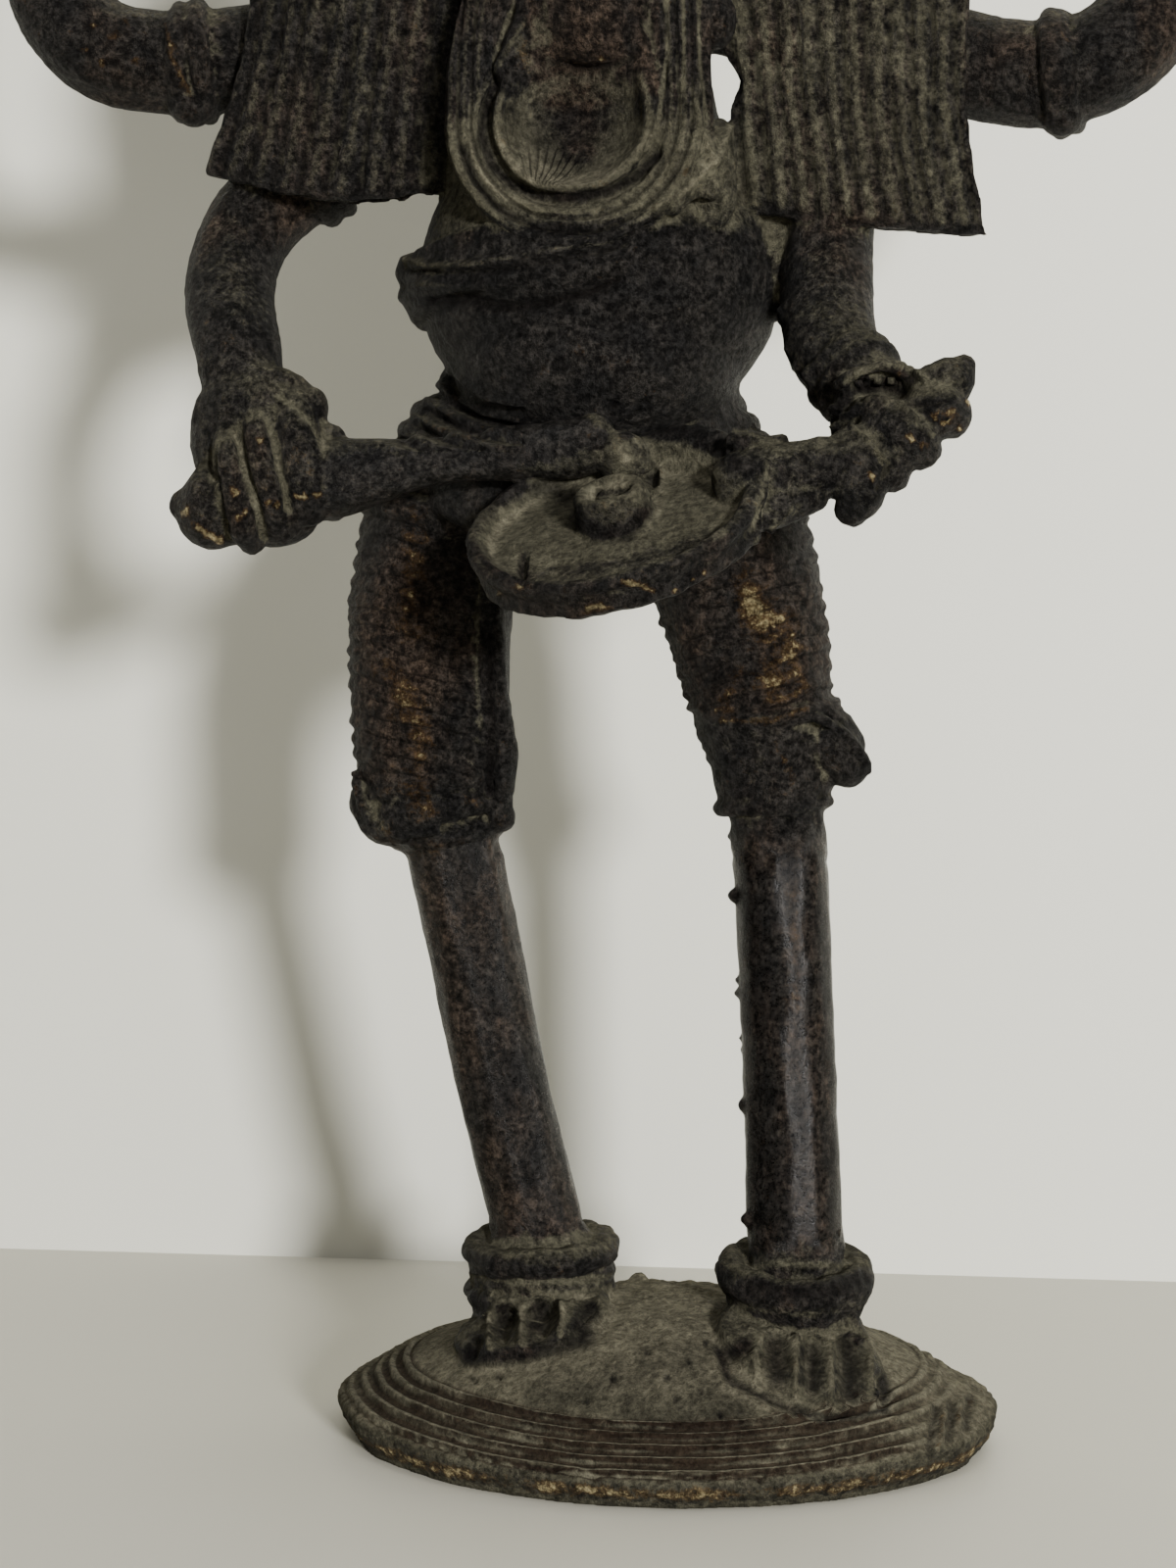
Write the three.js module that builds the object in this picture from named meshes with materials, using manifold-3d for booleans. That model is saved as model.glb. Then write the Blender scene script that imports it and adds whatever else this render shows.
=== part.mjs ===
// A small lost-wax brass figure of Ganesha, standing on a domed oval base and beating a pan-shaped gong.
// The original is modelled from rolled wax, coils and thin slabs, then cast in one piece, so the forms below
// are rolls, eggs, turned forms and slabs of wax, and all of them are joined into one solid.
// Millimetres, +Z up, the face towards -Y. "left" and "right" are as seen from the front, so left is -X.
// The origin is the centre of the base's flat underside.
import * as THREE from "three";
import { mergeVertices } from "three/addons/utils/BufferGeometryUtils.js";
import Module from "manifold-3d";

const wasm = await Module();
wasm.setup();

// Driving dimensions.
const BASE = { width: 66.4, depth: 51, foot: 0.95, top: 13.8, ribs: 5, ribPitch: 0.042, ribHeight: 0.5 };
const FOOT = { width: 7.3, length: 6.4, height: 2.9, toes: 5, toe: 1.2 };
const SHIN = 4.75; // radius of the bare lower legs
const ARM = 4.4; // radius of the lower arms
const UPPER_ARM = 5.1; // radius of the raised arms
const BODY = { hips: -9, belly: -6.4, chest: -7.2, back: -1.2, deep: 0.88 }; // the body sways to the left
const SASH_TILT = 0.17; // rise of the sash from left to right
const BIB = { x: -7.1, z: 129.3, dish: 7.3, strands: [9.1, 10.5, 11.8], edge: 12.4, stretch: 1.9, thick: 8 };
const HEAD = { x: -5.5, y: -2, z: 159, width: 12, depth: 11, height: 13.5 };
const CROWN = { foot: 168, top: 202, radius: 10.2, band: 11.9, tiers: 4 };
const EAR = { flutes: 8, relief: 0.5, thick: 3.1 };
const GONG = { radius: 14, thick: 3.8, rim: 1.5, sunk: 1.1, boss: 3.5, bossHeight: 3 };
const FIST = { width: 6.3, depth: 5.9, height: 8 };

const v = (x, y, z) => new THREE.Vector3(x, y, z);
const { lerp, clamp, smoothstep } = THREE.MathUtils;

// A closed three.js geometry as a solid.
function solid(geometry) {
  const g = geometry.clone();
  g.deleteAttribute("normal");
  g.deleteAttribute("uv");
  const merged = mergeVertices(g, 1e-4);
  return new wasm.Manifold(
    new wasm.Mesh({
      numProp: 3,
      vertProperties: merged.attributes.position.array,
      triVerts: new Uint32Array(merged.index.array),
    }),
  );
}

// Moves every vertex of a geometry by a function of its place.
function bend(geometry, move) {
  const position = geometry.attributes.position;
  const point = new THREE.Vector3();
  for (let i = 0; i < position.count; i++) {
    move(point.fromBufferAttribute(position, i));
    position.setXYZ(i, point.x, point.y, point.z);
  }
  return geometry;
}

// A list of values read as a smooth curve, at t from 0 to 1.
function along(values, t) {
  const curve = new THREE.CatmullRomCurve3(values.map((a, i) => v(i, a, 0)));
  return curve.getPoint(t).y;
}

// A roll of wax along a smooth line through the points. Each station is a place on the line, counted in
// points, and the radius there. Between stations the roll tapers straight, and its ends are blunt.
function roll(points, stations, { sides = 8, deep = 1, blunt = 0.5 } = {}) {
  const curve = new THREE.CatmullRomCurve3(points);
  const last = stations.length + 1;
  const ball = new THREE.SphereGeometry(1, sides, last);
  return solid(
    bend(ball, (p) => {
      const ring = Math.round((Math.acos(clamp(p.y, -1, 1)) / Math.PI) * last);
      const [place, radius] = stations[clamp(ring, 1, last - 1) - 1];
      const t = place / (points.length - 1);
      const tangent = curve.getTangent(t);
      const side = v(0, 1, 0).cross(tangent).normalize();
      const front = tangent.clone().cross(side);
      const turn = Math.atan2(p.z, p.x);
      const atEnd = ring === 0 ? -1 : ring === last ? 1 : 0;
      const wide = atEnd ? 0 : radius;
      p.copy(curve.getPoint(t))
        .addScaledVector(side, wide * Math.cos(turn))
        .addScaledVector(front, wide * deep * Math.sin(turn))
        .addScaledVector(tangent, atEnd * radius * blunt);
    }),
  );
}

// A roll with one radius for each of its points.
function plainRoll(points, radii, options) {
  return roll(points, radii.map((radius, i) => [i, radius]), options);
}

// An egg-shaped lump at a place, turned about the front-to-back axis.
function lump(place, [x, y, z], { sides = 8, rings = 5, turn = 0 } = {}) {
  const egg = new THREE.SphereGeometry(1, sides, rings);
  egg.rotateX(Math.PI / 2).scale(x, y, z).rotateY(turn).translate(place.x, place.y, place.z);
  return solid(egg);
}

// A profile of [radius, height] pairs turned about a vertical line.
function lathe(profile, sides) {
  return new THREE.LatheGeometry(profile.map(([r, z]) => new THREE.Vector2(r, z)), sides).rotateX(Math.PI / 2);
}

// Height of the base's dome above the table: the rim is lower and the slope steeper at the front and back.
function dome(x, y) {
  const wide = ((2 * x) / BASE.width) ** 2;
  const out = Math.min(wide + ((2 * y) / BASE.depth) ** 2, 1);
  const sideways = out > 0 ? Math.min(wide / out, 1) : 0;
  const rim = 2.4 + 1.6 * sideways;
  return rim + (BASE.top - rim) * (1 - out ** (1.4 - 0.4 * sideways));
}

// The base: a flat underside and a dome that starts with raised coils parallel to the rim.
function base() {
  const UNDERSIDE = -1;
  const profile = [[0, UNDERSIDE], [BASE.foot, UNDERSIDE], [1, 0]];
  for (let i = 0; i < BASE.ribs; i++) {
    profile.push([1 - BASE.ribPitch * (i + 0.35), BASE.ribHeight]);
    profile.push([1 - BASE.ribPitch * (i + 1), 0]);
  }
  profile.push([0.5, 0], [0, 0]);
  const form = lathe(profile, 26).scale(BASE.width / 2, BASE.depth / 2, 1);
  return solid(bend(form, (p) => {
    p.z = p.z < UNDERSIDE / 2 ? 0 : dome(p.x, p.y) + p.z;
  }));
}

// A foot: a pad that lies on the dome, its front edge parted into toes. Its columns are close together in front,
// with three to a toe, and wide apart at the heel.
function foot(place, turn) {
  const FRONT = FOOT.toes * 3;
  const COLUMNS = FRONT + 7;
  const pad = new THREE.SphereGeometry(1, COLUMNS, 6).rotateX(Math.PI / 2);
  bend(pad, (p) => {
    const out = Math.hypot(p.x, p.y);
    const column = (Math.round((Math.atan2(-p.y, -p.x) / (2 * Math.PI)) * COLUMNS) + COLUMNS) % COLUMNS;
    const inFront = column <= FRONT;
    const share = inFront ? column / FRONT : (column - FRONT) / (COLUMNS - FRONT);
    const angle = Math.PI * (inFront ? lerp(0.1, 0.9, share) : lerp(0.9, 2.1, share));
    const onToe = inFront && column % 3 !== 0;
    const reach = out * (onToe ? FOOT.toe : 0);
    const high = FOOT.height + out * (onToe ? 0.5 : -0.3);
    p.set(-out * Math.cos(angle) * (FOOT.width + reach), -out * Math.sin(angle) * (FOOT.length + reach), p.z * high);
  }).rotateZ(turn);
  bend(pad, (p) => p.set(p.x + place.x, p.y + place.y, p.z + dome(p.x + place.x, p.y + place.y) - 0.2));
  return solid(pad);
}

// A leg in one roll from the ankle to the hip. The profile gives its radius at each height, which makes the
// anklets, the bare shin, the cuff and the trouser.
function leg(path, profile) {
  const curve = new THREE.CatmullRomCurve3(path);
  const stations = profile.map(([height, radius]) => {
    let [low, high] = [0, 1];
    while (high - low > 1e-4) {
      const middle = (low + high) / 2;
      if (curve.getPoint(middle).z < height) low = middle;
      else high = middle;
    }
    return [low * (path.length - 1), radius];
  });
  return roll(path, stations, { sides: 10 });
}

function legs() {
  return [
    leg([v(-12.9, 0.5, 10), v(-12.7, 0.4, 18), v(-16.6, 0, 35), v(-21.6, -1, 59.5), v(-23.3, -1, 66), v(-23.9, -0.5, 82),
      v(-22.6, 0, 92), v(-18.6, 1, 102)],
    [[12, 6.4], [14.2, 8], [15.6, 8], [16.6, 6.7], [17.6, 8.1], [19.3, 8], [20.6, SHIN], [38, SHIN - 0.1], [58, SHIN],
      [58.8, 7], [60.8, 8.4], [63, 8.3], [64.4, 7.6], [73, 8], [83, 8.3], [92, 8.1], [100, 6.6]]),
    leg([v(13.5, -3, 9), v(13.4, -3, 18), v(12.6, -2.2, 40), v(11.3, -1, 64), v(10.2, -1, 72), v(8.2, -0.7, 82),
      v(5.2, 0, 92.5), v(0.8, 1, 102)],
    [[11, 6], [12.8, 6.6], [14.2, 6.6], [15, 5.9], [16, 7.7], [17.6, 8.1], [19, 7.7], [20, SHIN], [40, SHIN - 0.1],
      [61.5, SHIN], [62.2, 6.7], [66, 7.3], [70.5, 7.6], [71.4, 6.9], [80, 8], [91, 8.6], [100, 6.4]]),
    lump(v(-29, -2.4, 62.6), [3, 3.2, 3.8]),
    lump(v(17.2, -2.4, 69.3), [3.4, 3.4, 3.4], { turn: 0.5 }),
    foot(v(-12.6, -4.9, 0), 0.12),
    foot(v(13.8, -9, 0), -0.2),
  ];
}

// The body in one turned form: the seat, two waistbands that dip below the belly, the belly, a sash that rises
// to the right, the chest and the neck.
function torso() {
  const outline = [
    [0, 89.5], [9.5, 90.5], [14, 94.5], [15.2, 98.4], [16.6, 100], [16.4, 102.2], [14.8, 103], [15.8, 104.4],
    [15.2, 106], [13.8, 106.6], [16.4, 109.2], [18, 113.4], [18.1, 116], [19.3, 117.6], [19.1, 121.2], [17, 122.2],
    [13.2, 130], [11.6, 137], [12.4, 146], [0, 154],
  ];
  const form = bend(lathe(outline, 18), (p) => {
    const out = Math.hypot(p.x, p.y);
    const front = out > 0 ? Math.max(-p.y / out, 0) ** 2 : 0;
    const waist = smoothstep(p.z, 97, 101) * (1 - smoothstep(p.z, 105, 108));
    const sash = smoothstep(p.z, 112, 117.6) * (1 - smoothstep(p.z, 121.2, 130));
    const height = p.z;
    p.z += sash * SASH_TILT * p.x - 3.4 * waist * front;
    p.x += lerp(lerp(BODY.hips, BODY.belly, smoothstep(height, 98, 114)), BODY.chest, smoothstep(height, 122, 134));
    p.y = p.y * lerp(0.76, BODY.deep, smoothstep(height, 98, 110)) + BODY.back;
  });
  return [
    solid(form),
    lump(v(-24.4, -4.5, 116.2), [2.3, 3, 2.8]),
    plainRoll([v(11.2, -4, 122.5), v(11.8, -5, 112)], [2, 1.8], { sides: 6 }),
  ];
}

// How far forward the bib stands at a height.
function chestFront(z) {
  return -17.2 + (z - 117) * 0.09;
}

// The bib: necklace coils in a U round the dished end of the elephant's trunk. It is a turned form about a
// front-to-back line, with its upper half drawn up to the neck.
function bib() {
  const profile = [[0, -BIB.thick], [BIB.edge, -BIB.thick], [BIB.edge + 0.1, -0.4]];
  for (const radius of [...BIB.strands].reverse()) profile.push([radius, 1], [radius - 0.8, -0.1]);
  profile[profile.length - 1][1] = -0.9;
  profile.push([BIB.dish, 1.1], [BIB.dish * 0.72, -1.3], [BIB.dish * 0.38, -2.5], [0, -2.9]);
  const form = new THREE.LatheGeometry(profile.map(([r, y]) => new THREE.Vector2(r, y)), 18);
  return solid(bend(form, (p) => {
    const drawn = lerp(1.15, BIB.stretch, smoothstep(Math.hypot(p.x, p.z), BIB.dish, BIB.strands[0]));
    const z = BIB.z + (p.z > 0 ? p.z * drawn : p.z);
    p.set(BIB.x - p.x, chestFront(z) - p.y, z);
  }));
}

// An ear: a slab with upright flutes, between a left and a right edge read from the foot up, and a foot and a
// top read from left to right.
function ear(left, right, foot, top) {
  const slab = new THREE.BoxGeometry(1, 1, 1, EAR.flutes * 2, 1, 4);
  return solid(
    bend(slab, (p) => {
      const u = p.x + 0.5;
      const w = p.z + 0.5;
      const x = lerp(along(left, w), along(right, w), u);
      const z = lerp(along(foot, u), along(top, u), w);
      const flute = EAR.relief * Math.cos(u * EAR.flutes * 2 * Math.PI);
      const half = (EAR.thick / 2) * (1 - 0.3 * Math.abs(2 * u - 1) ** 4);
      const y = -9.6 - 1.6 * Math.sin(Math.PI * u) + 3 * (1 - w);
      p.set(x, y + (p.y < 0 ? -half - flute : half), z);
    }),
  );
}

function ears() {
  return [
    ear([-45.4, -41.6, -40, -41, -37], [-19.8, -18.6, -16.8, -14.6, -13.4], [126.6, 124, 123.2, 124.6],
      [166, 173, 173, 168]),
    ear([7.4, 6.5, 5, 3, 2], [31.6, 29.6, 29.8, 31.4, 27.5], [121.8, 120.4, 119.4, 119], [168, 173, 172, 165]),
  ];
}

// The head: a high skull, a brow, the broad trunk that comes down over the dish, tusks and eyes.
function head() {
  const { x, y, z } = HEAD;
  const parts = [
    lump(v(x, y, z), [HEAD.width, HEAD.depth, HEAD.height], { sides: 14, rings: 8 }),
    lump(v(x, y - 6.4, z + 3.5), [9.3, 6.3, 6.2], { sides: 12 }),
    plainRoll([v(x, y - 7, z - 1), v(x + 0.2, y - 13.4, z - 9), v(x + 0.3, y - 15.8, z - 17), v(x + 0.2, y - 15.6, z - 24.6)],
      [7, 6.3, 5.4, 4.7], { sides: 10, deep: 0.75, blunt: 0.2 }),
  ];
  for (const side of [-1, 1]) {
    parts.push(plainRoll([v(x + side * 6.2, y - 10, z - 8), v(x + side * 8.2, y - 16.5, z - 10.5)], [1.9, 1.1],
      { sides: 6 }));
    parts.push(lump(v(x + side * 5.8, y - 9.8, z + 1.4), [2.6, 1.8, 1.7], { sides: 8, rings: 4 }));
  }
  return parts;
}

// The crown: a band round the skull, tapering tiers, each with a bead at its foot, and a bud on top.
function crown() {
  const rise = (CROWN.top - 7 - CROWN.foot) / CROWN.tiers;
  const profile = [
    [0, CROWN.foot - 5], [CROWN.band - 0.6, CROWN.foot - 4.6], [CROWN.band + 0.4, CROWN.foot - 3],
    [CROWN.band, CROWN.foot], [CROWN.radius - 0.4, CROWN.foot + 0.3],
  ];
  for (let i = 0; i < CROWN.tiers; i++) {
    const radius = CROWN.radius * (1 - (0.74 * i) / CROWN.tiers);
    profile.push([radius + 0.6, CROWN.foot + rise * i + 1.5], [radius - 0.9, CROWN.foot + rise * (i + 1) - 0.6]);
  }
  profile.push([2.6, CROWN.top - 4], [1.6, CROWN.top - 1.4], [0, CROWN.top]);
  return solid(lathe(profile, 12).translate(HEAD.x, HEAD.y + 1, 0));
}

// A raised arm with its double armlet, and a lower arm with an armlet at the shoulder and a ring at the wrist.
function arms() {
  const raised = (path, armlet) => roll(path, [[0, 5], [1, 5], [armlet - 0.18, UPPER_ARM - 0.1], [armlet - 0.1, 6.3],
    [armlet, 5.5], [armlet + 0.1, 6.3], [armlet + 0.18, UPPER_ARM], [3, 5], [4, 4.7], [5, 4.2], [6, 3.8]]);
  const lower = (path, armlet, wrist) => roll(path, [[0, ARM], [armlet - 0.25, ARM], [armlet, ARM + 1.7],
    [armlet + 0.25, ARM], [2, ARM + 0.2], [3, ARM], [4, ARM - 0.2], [4.5, ARM - 0.5], [4.7, wrist], [5, ARM - 0.6]]);
  return [
    raised([v(-16, 2, 143), v(-33, 0, 141), v(-49, -3, 138.7), v(-57, -4, 140.3), v(-61.5, -4, 146), v(-62.6, -5, 154),
      v(-61.8, -6, 162)], 1.92),
    raised([v(3, 2, 143), v(20, 0, 139), v(37, -3, 135), v(43.6, -4, 136.8), v(48.2, -4, 142.6), v(50.2, -5, 151),
      v(49, -6, 160)], 2.24),
    lower([v(-18, 2, 142), v(-31, 0, 131), v(-40.8, -2, 123.6), v(-42.9, -6, 116.6), v(-40.8, -12, 108.6),
      v(-39.2, -14, 103)], 1.42, ARM - 0.4),
    lower([v(1, 2, 143.5), v(13, 0.5, 137.5), v(16.4, -2.5, 125.5), v(16.5, -6, 116.5), v(17.8, -12.5, 107.5),
      v(19.8, -17, 102.5)], 1.3, ARM + 1),
  ];
}

// A closed fist: an egg with four fingers down its front, twisted so that they fan to one side.
function fist(place, [x, y, z], twist, rings = 7) {
  const COLUMNS = 16;
  const egg = new THREE.SphereGeometry(1, COLUMNS, rings).rotateX(Math.PI / 2);
  return solid(bend(egg, (p) => {
    const angle = Math.atan2(p.y, p.x);
    const groove = Math.round((angle / Math.PI) * (COLUMNS / 2)) % 2 === 0 && Math.sin(angle) < -0.01;
    const out = groove ? 0.84 : 1.03;
    const turned = v(p.x, p.y, 0).applyAxisAngle(v(0, 0, 1), -twist * p.z);
    p.set(place.x + turned.x * x * out, place.y + turned.y * y * out, place.z + p.z * z);
  }));
}

// The fist that holds the beater, and the beater: a pointed butt, a collar at the fist, and a shaft that
// thickens to the end lying on the gong.
function beater() {
  const path = [v(-46, -15, 93.4), v(-43, -15, 93.4), v(-30, -16, 95.8), v(-20.8, -16.4, 97.2), v(-8.8, -17, 98.1),
    v(-6, -17.2, 98.6)];
  return [
    fist(v(-38, -14.8, 97.3), [FIST.width, FIST.depth, FIST.height], 0.35),
    lump(v(-32.4, -16.6, 101.4), [1.9, 2.1, 2.2], { sides: 6 }),
    roll(path, [[0, 0.8], [1, 3.9], [1.6, 3.4], [2.1, 3.4], [2.5, 2.4], [3, 1.8], [3.5, 2], [4, 2.8], [5, 2.6]]),
  ];
}

// The gong: a shallow pan with a raised lip and a coiled boss, tipped towards the front, on a short handle.
function gong() {
  const { radius, thick, rim, sunk, boss, bossHeight } = GONG;
  const profile = [
    [0, -thick], [radius * 0.9, -thick], [radius * 0.98, -thick * 0.55], [radius, -0.3], [radius - rim * 0.4, 0.3],
    [radius - rim, 0], [radius - rim - 0.5, -sunk], [boss, -sunk], [boss * 0.98, bossHeight - sunk],
    [boss * 0.6, bossHeight - sunk], [boss * 0.45, bossHeight - sunk - 1.4], [0, bossHeight - sunk - 1.4],
  ];
  const pan = new THREE.LatheGeometry(profile.map(([r, z]) => new THREE.Vector2(r, z)), 18);
  const up = v(-0.193, -0.459, 0.868).normalize();
  pan.applyQuaternion(new THREE.Quaternion().setFromUnitVectors(v(0, 1, 0), up));
  pan.translate(-2.4, -26, 92.2);
  return [
    solid(pan),
    plainRoll([v(8.5, -25, 94), v(14, -24.6, 95.2), v(20, -22.4, 96)], [2.9, 3, 3]),
    plainRoll([v(9.6, -26.8, 91), v(15.4, -25, 93)], [1.7, 1.6], { sides: 6 }),
  ];
}

// The lower right hand: it grips the gong's handle from behind, with four fingertips in a stair and the thumb up.
function gongHand() {
  const finger = (from, to, radius) => roll([from, to], [[0, radius - 0.2], [0.8, radius], [1.25, radius * 0.6]],
    { sides: 7, blunt: 0.4 });
  return [
    lump(v(20.8, -19.6, 99.6), [3.8, 4, 5], { sides: 10, rings: 6 }),
    plainRoll([v(23.2, -19.8, 101.4), v(26.8, -21.2, 103), v(28.8, -21.6, 104.2)], [2.2, 2.7, 1.6], { sides: 7 }),
    finger(v(22.6, -21.8, 101), v(27.6, -23, 99.8), 2.7),
    finger(v(21.3, -22.8, 100), v(24.6, -23.8, 97.4), 2.4),
    finger(v(20, -23.4, 98.6), v(22.2, -24.2, 95.6), 2.3),
    finger(v(18.8, -23.2, 97.4), v(19.8, -24, 94), 2.3),
  ];
}

// The raised hands, closed round an elephant goad on the left and a lotus bud on the right.
function emblems() {
  const goad = v(-61.6, -6.4, 167);
  const lotus = v(48.8, -6.4, 165);
  const bud = lathe([[0, 171], [2.6, 172.5], [3.8, 175], [2.6, 179.5], [0, 183]], 8);
  return [
    fist(goad, [4.6, 4.8, 4.8], 0, 6),
    fist(lotus, [4.6, 4.8, 4.8], 0, 6),
    plainRoll([v(goad.x, goad.y, goad.z - 7), v(goad.x + 0.4, goad.y, goad.z + 17)], [1.7, 1.2], { sides: 6 }),
    plainRoll([v(goad.x, goad.y, goad.z + 9), v(goad.x + 4.4, goad.y, goad.z + 11.4), v(goad.x + 5.4, goad.y, goad.z + 7.4)],
      [1.5, 1.4, 0.8], { sides: 6 }),
    plainRoll([v(lotus.x, lotus.y, lotus.z - 7), v(lotus.x, lotus.y, lotus.z + 7)], [1.6, 1.6], { sides: 6 }),
    solid(bud.translate(lotus.x, lotus.y, 0)),
  ];
}

const pieces = [
  base(), ...legs(), ...torso(), bib(), ...head(), crown(), ...ears(), ...arms(), ...beater(), ...gong(),
  ...gongHand(), ...emblems(),
];
const casting = wasm.Manifold.union(pieces);

// The joined solid as one mesh in aged brass.
function castMesh(name, joined) {
  const made = joined.getMesh();
  const geometry = new THREE.BufferGeometry();
  const places = new Float32Array(made.numVert * 3);
  for (let i = 0; i < made.numVert; i++) {
    places.set(made.vertProperties.subarray(i * made.numProp, i * made.numProp + 3), i * 3);
  }
  geometry.setAttribute("position", new THREE.BufferAttribute(places, 3));
  geometry.setIndex(new THREE.BufferAttribute(made.triVerts, 1));
  geometry.computeVertexNormals();
  const brass = new THREE.MeshStandardMaterial({ color: 0x3b332a, roughness: 0.55, metalness: 0.6 });
  const mesh = new THREE.Mesh(geometry, brass);
  mesh.name = name;
  return mesh;
}

const figure = new THREE.Group();
figure.add(castMesh("ganesha_figure", casting));

export default figure;
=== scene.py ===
"""Looks of a small lost-wax brass Ganesha: its cast skin, wax threads, dust, worn metal and painted shade.

The figure is built from rolls, coils and slabs of wax, as its maker built it, in millimetres. They are joined
into one skin, which is lined and roughened as a casting is, and scaled to metres. "left" and "right" are as
seen from the front.
"""

import math

import bpy
import numpy as np
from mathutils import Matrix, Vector


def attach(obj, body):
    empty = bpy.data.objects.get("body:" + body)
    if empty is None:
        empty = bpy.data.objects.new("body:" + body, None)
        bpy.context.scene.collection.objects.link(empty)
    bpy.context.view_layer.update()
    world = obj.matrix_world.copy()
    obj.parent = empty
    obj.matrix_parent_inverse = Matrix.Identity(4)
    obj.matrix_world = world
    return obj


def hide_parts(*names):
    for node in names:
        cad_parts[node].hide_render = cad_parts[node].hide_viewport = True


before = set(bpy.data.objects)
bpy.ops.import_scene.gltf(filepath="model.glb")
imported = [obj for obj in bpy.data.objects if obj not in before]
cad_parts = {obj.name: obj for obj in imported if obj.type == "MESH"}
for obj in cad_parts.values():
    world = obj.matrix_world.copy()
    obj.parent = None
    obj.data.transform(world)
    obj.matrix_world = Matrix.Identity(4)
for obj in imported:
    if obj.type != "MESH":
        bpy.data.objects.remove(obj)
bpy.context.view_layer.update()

MM = 0.001
TAU = 2 * math.pi
VOXEL = 0.3  # millimetres between the points of the joined skin
TRIANGLES = 196000
FINEST_SHARE = 0.000002  # how strongly the finest carving keeps its triangles
FINEST_WEIGHT = 0.5  # its weight in the group that says so, against 1 elsewhere
SETTLED, NEAR, SOFT, WIDE, BROAD = 2, 3, 6, 14, 60  # rounds of averaging with the neighbours
PICTURE_X, PICTURE_Y = 600, 800  # the middle of a picture 1200 wide and 1600 high
PICTURE_SCALE = 2600  # points of that picture for a slope of 1
KEY_POWER, OVERHEAD_POWER, WORLD_LIGHT = 18.8, 3.0, 0.17


# The camera stands where the photograph was taken from: low, a little to the right, looking slightly down.
camera = bpy.data.objects.new("camera", bpy.data.cameras.new("camera"))
bpy.context.scene.collection.objects.link(camera)
bpy.context.scene.camera = camera
turn, dip = math.radians(7), math.radians(2.5)
forward = Vector((-math.sin(turn) * math.cos(dip), math.cos(turn) * math.cos(dip), -math.sin(dip)))
camera.location = (0.0236, -0.2559, 0.0772)
camera.rotation_euler = forward.to_track_quat("-Z", "Y").to_euler()
camera.data.lens = 58.5
camera.data.sensor_width = 36
camera.data.clip_start = 0.01
EYE, AHEAD = np.array(camera.location) / MM, np.array(forward)
SIDEWAYS = np.array([math.cos(turn), math.sin(turn), 0])
ABOVE = np.cross(SIDEWAYS, AHEAD)


def seen(points):
    """Where the camera sees each point, counted on a picture 1200 wide and 1600 high."""
    q = points - EYE
    depth = q @ AHEAD
    return (PICTURE_X + PICTURE_SCALE * (q @ SIDEWAYS) / depth,
            PICTURE_Y - PICTURE_SCALE * (q @ ABOVE) / depth)


# ---- numbers and curves ----

rng = np.random.default_rng(11)
SHUFFLE = rng.permutation(256)
SLOPES = rng.normal(size=(256, 3))
SLOPES /= np.linalg.norm(SLOPES, axis=1)[:, None]


def noise(points, size, seed=0):
    """Smooth noise of about -1 to 1, with lumps of the given size in millimetres."""
    q = np.asarray(points, float) / size + seed * 19.37
    cell = np.floor(q).astype(int)
    f = q - cell
    w = f * f * f * (f * (f * 6 - 15) + 10)
    total = np.zeros(len(q))
    for dx in (0, 1):
        for dy in (0, 1):
            for dz in (0, 1):
                h = SHUFFLE[(cell[:, 0] + dx) & 255]
                h = SHUFFLE[(h + cell[:, 1] + dy) & 255]
                h = SHUFFLE[(h + cell[:, 2] + dz) & 255]
                dot = ((f - (dx, dy, dz)) * SLOPES[h]).sum(1)
                share = np.abs(1 - dx - w[:, 0]) * np.abs(1 - dy - w[:, 1]) * np.abs(1 - dz - w[:, 2])
                total += dot * share
    return total * 1.7


def smooth(x, low, high):
    """0 below low, 1 above high, and a smooth rise between them."""
    t = np.clip((np.asarray(x, float) - low) / (high - low), 0, 1)
    return t * t * (3 - 2 * t)


def curve(points, t):
    """A smooth line through the points, at places t counted in points."""
    p = np.array(points, float)
    p = np.vstack([2 * p[0] - p[1], p, 2 * p[-1] - p[-2]])
    t = np.clip(np.asarray(t, float), 0, len(points) - 1)
    i = np.minimum(t.astype(int), len(points) - 2)
    u = (t - i)[:, None]
    a, b, c, d = p[i], p[i + 1], p[i + 2], p[i + 3]

    def gap(q, r):
        return np.maximum(np.linalg.norm(r - q, axis=1), 1e-6)[:, None] ** 0.5

    ab, bc, cd = gap(a, b), gap(b, c), gap(c, d)
    m1 = ((b - a) / ab - (c - a) / (ab + bc) + (c - b) / bc) * bc
    m2 = ((c - b) / bc - (d - b) / (bc + cd) + (d - c) / cd) * bc
    return b + m1 * u + (3 * (c - b) - 2 * m1 - m2) * u**2 + (2 * (b - c) + m1 + m2) * u**3


def eased(t, places, values, blur):
    """Values at places, joined by straight lines whose corners are rounded over a width of blur."""
    shifts = np.linspace(-blur, blur, 7)
    return np.mean([np.interp(np.asarray(t) + s, places, values) for s in shifts], axis=0)


# ---- wax: every form is a stack of closed rings ----

wax = {"points": [], "faces": [], "count": 0}


def add_form(points, faces):
    """Adds a closed form, with its faces turned outwards."""
    tri = points[faces]
    if np.einsum("ij,ij->i", tri[:, 0], np.cross(tri[:, 1], tri[:, 2])).sum() < 0:
        faces = faces[:, ::-1]
    wax["points"].append(points)
    wax["faces"].append(faces + wax["count"])
    wax["count"] += len(points)


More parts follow.
